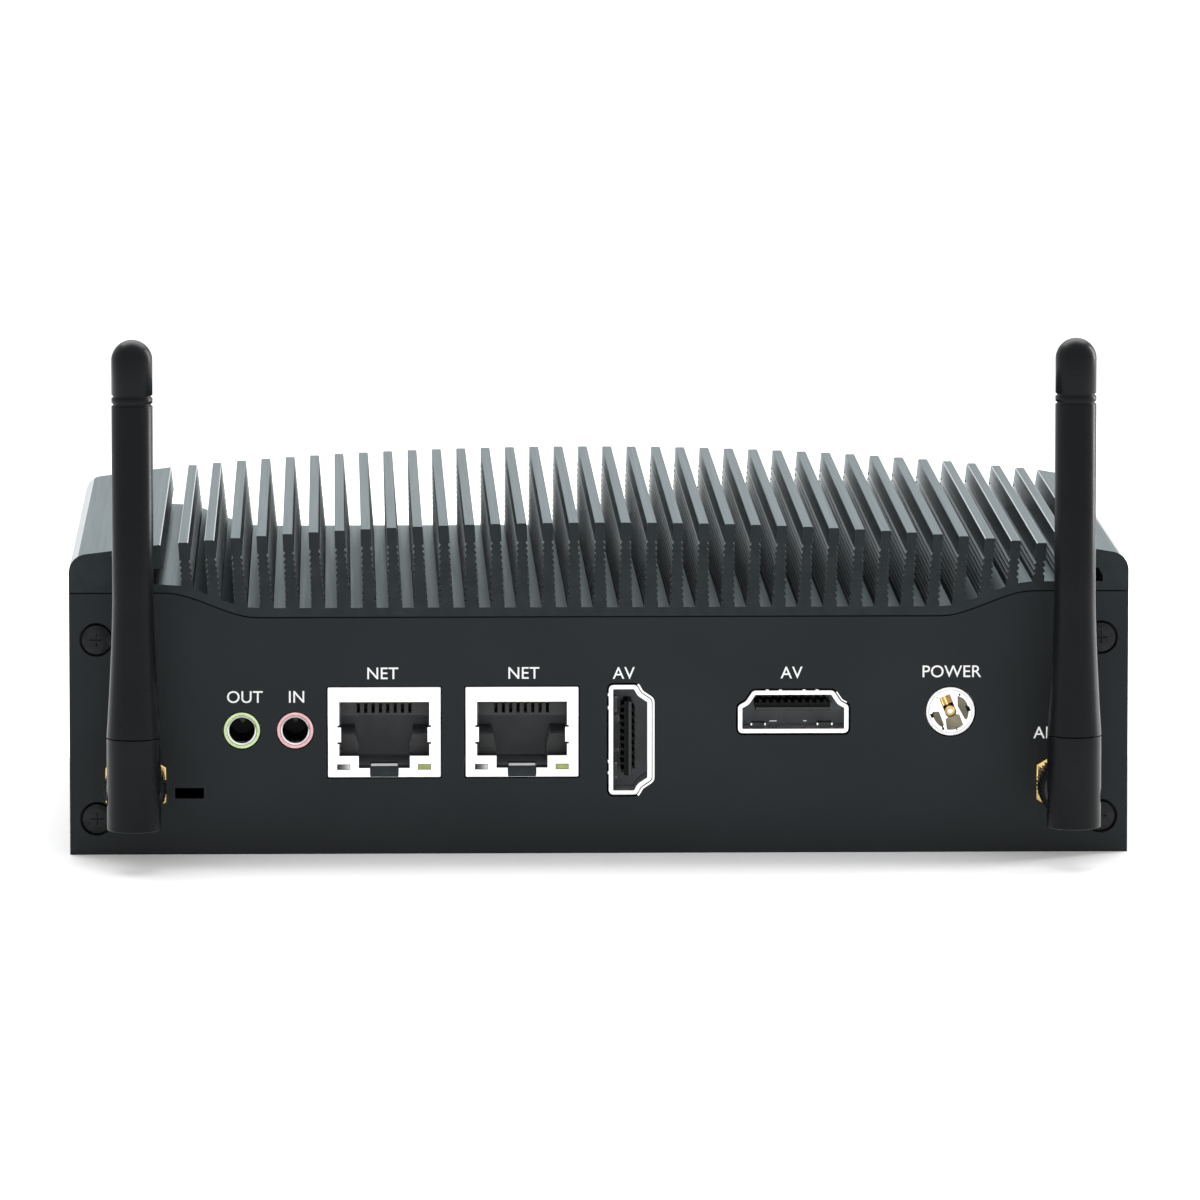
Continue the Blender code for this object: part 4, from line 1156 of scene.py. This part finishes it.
def connector(side, x, z):
    """The threaded socket, with real thread ridges, and its hex nut."""
    low, high = low_high(f"antenna_connector_{side}")
    inner_face = low_high("rear_panel")[1].y + GAP
    profile = [(low.y + 3, 2.25), (low.y, 2.25), (low.y, THREAD_RADIUS - 0.3)]
    along = low.y + 0.2
    while along < inner_face - THREAD_PITCH:
        profile += [(along, THREAD_RADIUS - 0.3), (along + THREAD_PITCH / 2, THREAD_RADIUS)]
        along += THREAD_PITCH
    profile += [(inner_face, THREAD_RADIUS), (inner_face, 3.8), (inner_face + 2, 3.8)]
    profile += [(inner_face + 2, 1.6), (high.y, 1.6), (high.y, 0.05), (low.y + 3, 0.05)]
    node = f"antenna_connector_{side}"
    settle(turned_solid(f"{node}_threaded", profile, (x, z), closed=True), GOLD, [node])
    low, high = low_high(f"antenna_hex_nut_{side}")
    corner = (high.z - low.z) / 2
    hexagon = circle((x, z), corner, 6, math.pi / 2)
    nut = prism_solid(f"antenna_hex_nut_{side}_chamfered", hexagon, low.y, high.y)
    soften(nut, 0.22)
    cut(nut, circle((x, z), THREAD_RADIUS + 0.1), low.y - 1, high.y + 1)
    settle(nut, GOLD, [f"antenna_hex_nut_{side}"], smooth=25)


def coupling_nut(side, x, z):
    """A hand nut with a straight knurl between two plain edges."""
    low, high = low_high(f"coupling_nut_{side}")
    bore = THREAD_RADIUS + GAP
    neck = 2.5
    edge = 0.35
    root = NUT_RADIUS - 0.26

    def ring(along, valley, crest=None):
        """A ring of points whose radius goes from valley to crest at each knurl."""
        steps = 4 * KNURLS
        points = []
        for step in range(steps):
            angle = 2 * math.pi * step / steps
            radius = crest if crest and step % 4 in (1, 2) else valley
            points.append((x + radius * math.cos(angle), along, z + radius * math.sin(angle)))
        return points

    sections = [ring(low.y, neck), ring(low.y, root - 0.1), ring(low.y + edge, root)]
    sections += [ring(low.y + edge, root, NUT_RADIUS - 0.12), ring(low.y + 1.5 * edge, root, NUT_RADIUS)]
    sections += [ring(high.y - 1.5 * edge, root, NUT_RADIUS), ring(high.y - edge, root, NUT_RADIUS - 0.12)]
    sections += [ring(high.y - edge, root), ring(high.y, root - 0.1), ring(high.y, bore)]
    sections += [ring(low.y + 1, bore), ring(low.y + 1, neck)]
    bm = bmesh.new()
    loft(bm, sections, closed=True)
    bmesh.ops.remove_doubles(bm, verts=bm.verts, dist=0.0005)
    node = f"coupling_nut_{side}"
    settle(solid(f"{node}_knurled", bm), SCREW, [node], f"nut_{side}", smooth=25)


def knuckle(side, x, z, pivot_y):
    """The swivel: a flange held by the nut, a collar, and a tongue for the pivot."""
    node = f"antenna_knuckle_{side}"
    nut_low = low_high(f"coupling_nut_{side}")[0].y
    collar = pivot_y + 6.2
    flange = nut_low + 1.0 + GAP
    profile = [(collar, 3.3), (collar + 0.3, 3.6), (nut_low - GAP - 0.2, 3.6), (nut_low - GAP, 3.4)]
    profile += [(nut_low - GAP, 2.2), (flange, 2.2), (flange, 3.1), (flange + 1.1, 3.1)]
    swivel = turned_solid(f"{node}_moulded", profile, (x, z))
    outline = arc((pivot_y, z), TONGUE_RADIUS, 90, 270, 24)
    outline += [(collar + 0.5, z - TONGUE_RADIUS), (collar + 0.5, z + TONGUE_RADIUS)]
    tongue = bmesh.new()
    prism(tongue, outline, x - TONGUE_HALF, x + TONGUE_HALF, "X")
    combine(swivel, tongue, "UNION")
    cut(swivel, circle((pivot_y, z), PIN_RADIUS + GAP, 32), x - 3, x + 3, "X")
    settle(swivel, BLACK, [node], f"swivel_{side}", smooth=35)


def fork(side, x, z, pivot_y):
    """The foot of the antenna, open behind and below so that it can fold out."""
    node = f"antenna_fork_{side}"
    low = low_high(node)[0]
    top = low_high(f"antenna_sleeve_{side}")[0].z - SLEEVE_SEAM
    spigot = 2.0
    profile = [(low.z, FORK_RADIUS - 0.16), (low.z + 0.05, FORK_RADIUS - 0.05), (low.z + 0.16, FORK_RADIUS)]
    profile += [(top - 0.06, FORK_RADIUS), (top, FORK_RADIUS - 0.06), (top, spigot), (top + 6, spigot)]
    foot = turned_solid(f"{node}_moulded", profile, (x, pivot_y), "Z", 72)
    reach = TONGUE_RADIUS + GAP
    outline = arc((pivot_y, z), reach, 180, 90, 16)
    outline += [(pivot_y + 8, z + reach), (pivot_y + 8, 0), (pivot_y - reach, 0)]
    half = TONGUE_HALF + GAP
    cut(foot, list(reversed(outline)), x - half, x + half, "X")
    cut(foot, circle((pivot_y, z), PIN_RADIUS + GAP, 32), x - 5, x + 5, "X")
    settle(foot, COVER, [node], f"antenna_{side}", smooth=35)
    node = f"antenna_pivot_pin_{side}"
    a, b = low_high(node)
    ease = 0.2
    end = PIN_RADIUS - ease
    profile = [(a.x, end), (a.x + ease, PIN_RADIUS), (b.x - ease, PIN_RADIUS), (b.x, end)]
    pin = turned_solid(f"{node}_chamfered", profile, (pivot_y, z), "X", 32)
    settle(pin, STEEL, [node], f"antenna_{side}")


def sleeve(side, x, pivot_y):
    """The blade: a taper, a straight tube with two grooves, and a round tip."""
    node = f"antenna_sleeve_{side}"
    low, high = low_high(node)
    bore = 2.3
    profile = [(low.z + 6.2, 0.05), (low.z + 6.2, bore), (low.z, bore), (low.z, FORK_RADIUS - 0.06)]
    ease = 0.06
    steps = 24
    for step in range(steps + 1):
        part = step / steps
        z = low.z + ease + (SLEEVE_TAPER_TOP - low.z - ease) * part
        narrowed = 1 - (1 - part) ** 1.4
        profile.append((z, FORK_RADIUS + (SLEEVE_RADIUS - FORK_RADIUS) * narrowed))
    for z in GROOVES:
        floor = SLEEVE_RADIUS - 0.2
        profile += [(z - 0.24, SLEEVE_RADIUS), (z - 0.18, SLEEVE_RADIUS - 0.04), (z - 0.14, floor)]
        profile += [(z + 0.14, floor), (z + 0.18, SLEEVE_RADIUS - 0.04), (z + 0.24, SLEEVE_RADIUS)]
    tip = high.z - SLEEVE_RADIUS
    steps = 16
    for step in range(steps):
        angle = math.pi / 2 * step / steps
        profile.append((tip + SLEEVE_RADIUS * math.sin(angle), SLEEVE_RADIUS * math.cos(angle)))
    profile.append((high.z, 0.02))
    blade = turned_solid(f"{node}_moulded", profile, (x, pivot_y), "Z", 72)
    settle(blade, COVER, [node], f"antenna_{side}", smooth=35)


def antennas():
    for side in SIDES:
        nut = middle(f"coupling_nut_{side}")
        pivot_y = middle(f"antenna_sleeve_{side}").y
        connector(side, nut.x, nut.z)
        coupling_nut(side, nut.x, nut.z)
        knuckle(side, nut.x, nut.z, pivot_y)
        fork(side, nut.x, nut.z, pivot_y)
        sleeve(side, nut.x, pivot_y)


# Front side


def usb_jack(number):
    """Two stacked sockets in a folded shell, with black tongues, contacts and springs."""
    node = f"usb_jack_{number}"
    low, high = low_high(node)
    front = high.y
    sheet = 0.35
    mouth = 5.1
    depth = 12.0
    edge = 1.0
    bm = bmesh.new()
    outline = rounded(rectangle(low.x, high.x, low.z, high.z), 0.45, 4)
    loft(bm, [placed(outline, low.y), placed(outline, front - 0.1), placed(inset(outline, 0.1), front)])
    shell = solid(f"{node}_shell", bm)
    mouths = bmesh.new()
    tongues = bmesh.new()
    contacts = bmesh.new()
    springs = bmesh.new()
    for bottom in (low.z + edge, high.z - edge - mouth):
        hole = rounded(rectangle(low.x + sheet, high.x - sheet, bottom, bottom + mouth), 0.3, 3)
        prism(mouths, hole, front - depth, front + 1)
        bar = rectangle(low.x + edge + 0.2, high.x - edge - 0.2, bottom + 2.7, bottom + 4.4)
        tip = front - 0.9
        sections = [placed(bar, front - depth + 0.1), placed(bar, tip - 0.2), placed(inset(bar, 0.2), tip)]
        loft(tongues, sections)
        centre = (low.x + high.x) / 2
        for shift in (-3.5, -1.0, 1.0, 3.5):
            strip = rectangle(centre + shift - 0.45, centre + shift + 0.45, bottom + 2.58, bottom + 2.69)
            prism(contacts, strip, front - 9, tip - 0.7)
        for shift in (-3.2, 3.2):
            leaf = [(front - 8, bottom + 0.02), (front - 1.2, bottom + 0.02), (front - 1.2, bottom + 0.16)]
            leaf += [(front - 3.5, bottom + 0.6), (front - 8, bottom + 0.16)]
            prism(springs, leaf, centre + shift - 0.8, centre + shift + 0.8, "X")
    combine(shell, mouths, "DIFFERENCE")
    settle(shell, STEEL, [node], smooth=25)
    settle(solid(f"usb_tongues_{number}", tongues), BLACK)
    settle(solid(f"usb_contacts_{number}", contacts), GOLD)
    settle(solid(f"usb_springs_{number}", springs), STEEL)


def power_button():
    low, high = low_high("power_button")
    x, z = middle("power_button").x, lamp_z()
    front = high.y
    radius = BUTTON_RADIUS
    inner = low_high("front_panel")[0].y - GAP
    profile = [(front - 0.25, 0.05), (front - 0.22, 1.2), (front - 0.1, 2.4), (front - 0.02, 2.9)]
    profile += [(front, 3.2), (front - 0.05, 3.55), (front - 0.2, 3.85), (front - 0.45, radius)]
    profile += [(inner, radius), (inner, radius + 1), (inner - 1.2, radius + 1)]
    profile += [(inner - 1.2, 1.5), (low.y, 1.5)]
    button = turned_solid("power_button_dished", profile, (x, z), steps=72)
    settle(button, SCREW, ["power_button"], "button", smooth=35)
    ring = bmesh.new()
    sweep = arc((x, z), 1.35, 125, 415, 28)
    inner_edge = arc((x, z), 1.1, 415, 125, 28)
    prism(ring, sweep + inner_edge, front - 0.4, front - 0.17)
    prism(ring, rounded(rectangle(x - 0.12, x + 0.12, z + 0.35, z + 1.6), 0.1, 3), front - 0.4, front - 0.17)
    settle(solid("power_symbol", ring), INK, body="button")


def light_pipe():
    low, high = low_high("light_pipe")
    x, z = middle("light_pipe").x, lamp_z()
    radius = LIGHT_RADIUS
    profile = [(high.y - 9, radius), (high.y - 0.6, radius), (high.y - 0.3, radius * 0.94)]
    profile += [(high.y - 0.1, radius * 0.7), (high.y - 0.02, radius * 0.35), (high.y, 0.03)]
    pipe = turned_solid("light_pipe_domed", profile, (x, z), steps=40)
    leg = bmesh.new()
    box(leg, (x - 1.2, low.y, z - 1.2), (x + 1.2, low.y + 2.4, high.z), 0.2)
    combine(pipe, leg, "UNION")
    settle(pipe, CLEAR, ["light_pipe"], smooth=35)


def front_side():
    usb_jack(1)
    usb_jack(2)
    power_button()
    light_pipe()


# Labels: name, text, the node that each stands over, its shift from it, its height


LABELS = (
    ("speaker", "OUT", "speaker_jack", 0.4, 21.9),
    ("microphone", "IN", "microphone_jack", 0.2, 21.9),
    ("network_left", "NET", "lan_shield_left", -0.25, 25.15),
    ("network_right", "NET", "lan_shield_right", 0.2, 25.15),
    ("display_upright", "AV", "hd_shell_upright", -0.9, 25.1),
    ("display_flat", "AV", "hd_shell_flat", -0.25, 25.1),
    ("power", "POWER", "power_inlet", 0.1, 25.2),
    ("antenna", "ANT", "antenna_hex_nut_right", -2.1, 16.6),
)


def label(name, text, centre, height=1.65):
    """Thin raised lettering on the rear panel."""
    curve = bpy.data.curves.new(name, "FONT")
    curve.body = text
    curve.size = height / 0.7
    curve.extrude = 0.012
    curve.offset = 0.008
    curve.align_x = "CENTER"
    curve.align_y = "CENTER"
    curve.space_character = 1.02
    obj = bpy.data.objects.new(f"{name}_curve", curve)
    bpy.context.scene.collection.objects.link(obj)
    graph = bpy.context.evaluated_depsgraph_get()
    mesh = bpy.data.meshes.new_from_object(obj.evaluated_get(graph), depsgraph=graph)
    bpy.data.objects.remove(obj)
    front = low_high("rear_panel")[0].y
    turn = Matrix.Rotation(math.pi / 2, 4, "X")
    mesh.transform(Matrix.Translation((centre[0], front - 0.006, centre[1])) @ turn)
    bm = bmesh.new()
    bm.from_mesh(mesh)
    bmesh.ops.remove_doubles(bm, verts=bm.verts, dist=0.0005)
    settle(solid(name, bm), INK, smooth=None)


def labels():
    for name, text, node, shift, height in LABELS:
        label(f"label_{name}", text, (middle(node).x + shift, height))


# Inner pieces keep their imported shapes


def inner_pieces():
    for material, names in (
        (BOARD, ("mainboard", "memory_module", "storage_module", "wireless_card")),
        (CHIP, ("processor",)),
        (ALUMINIUM, ("heat_spreader",)),
        (STEEL, ("coin_cell",)),
        (BLACK, ("button_switch", "antenna_lead_left", "antenna_lead_right")),
    ):
        for name in names:
            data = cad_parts[name].data
            data.materials.clear()
            data.materials.append(material)


# Surroundings, in metres


CAMERA_PLACE = (-0.0366, -1.544, 0.2064)
CAMERA_TARGET = (0.0001, -0.0535, 0.0354)
CAMERA_LENS = 324.7
CAMERA_SENSOR = 36
CAMERA_REACH = 50
SKY_STRENGTH = 1.06
# Lights: name, place, target, size, power
LIGHTS = (
    ("right_strip", (1.05, 0.55, 0.3), (0, -0.05, 0.04), (0.25, 1.0), 12),
    ("rear_low", (0.05, 0.26, 0.15), (0, -0.04, 0.046), (0.8, 0.12), 0.04),
    ("top_panel", (0, 0.25, 0.5), (0, 0.03, 0.04), (0.7, 0.4), 4),
)


def aim(obj, target):
    direction = Vector(target) - obj.location
    obj.rotation_euler = direction.to_track_quat("-Z", "Y").to_euler()


def area_light(name, place, target, size, power):
    data = bpy.data.lights.new(name, "AREA")
    data.shape = "RECTANGLE"
    data.size, data.size_y = size
    data.energy = power
    light = bpy.data.objects.new(name, data)
    bpy.context.scene.collection.objects.link(light)
    light.location = place
    light.visible_camera = False
    aim(light, target)


def floor():
    bm = bmesh.new()
    box(bm, (-9000, -4000, -40), (9000, 14000, -0.02))
    made = solid("floor", bm)
    made.data.materials.append(
        surface(
            "pale_floor", (0.96, 0.96, 0.96), 0.6, 0.0, 0.002, 0.004, 0.03, (0.05, 0.02),
            Specular_IOR_Level=0.1,
        )
    )


def surroundings():
    scene = bpy.context.scene
    scene.view_settings.view_transform = "Standard"
    world = bpy.data.worlds.new("studio")
    world.use_nodes = True
    world.node_tree.nodes["Background"].inputs["Color"].default_value = (1, 1, 1, 1)
    world.node_tree.nodes["Background"].inputs["Strength"].default_value = SKY_STRENGTH
    scene.world = world
    floor()
    data = bpy.data.cameras.new("camera")
    data.lens = CAMERA_LENS
    data.sensor_width = CAMERA_SENSOR
    data.clip_end = CAMERA_REACH
    camera = bpy.data.objects.new("camera", data)
    scene.collection.objects.link(camera)
    camera.location = CAMERA_PLACE
    aim(camera, CAMERA_TARGET)
    scene.camera = camera
    for light in LIGHTS:
        area_light(*light)


heatsink_lid()
chassis_tray()
rear_panel()
front_panel()
screws()
lan_sockets()
hd_sockets()
round_sockets()
antennas()
front_side()
labels()
inner_pieces()
surroundings()
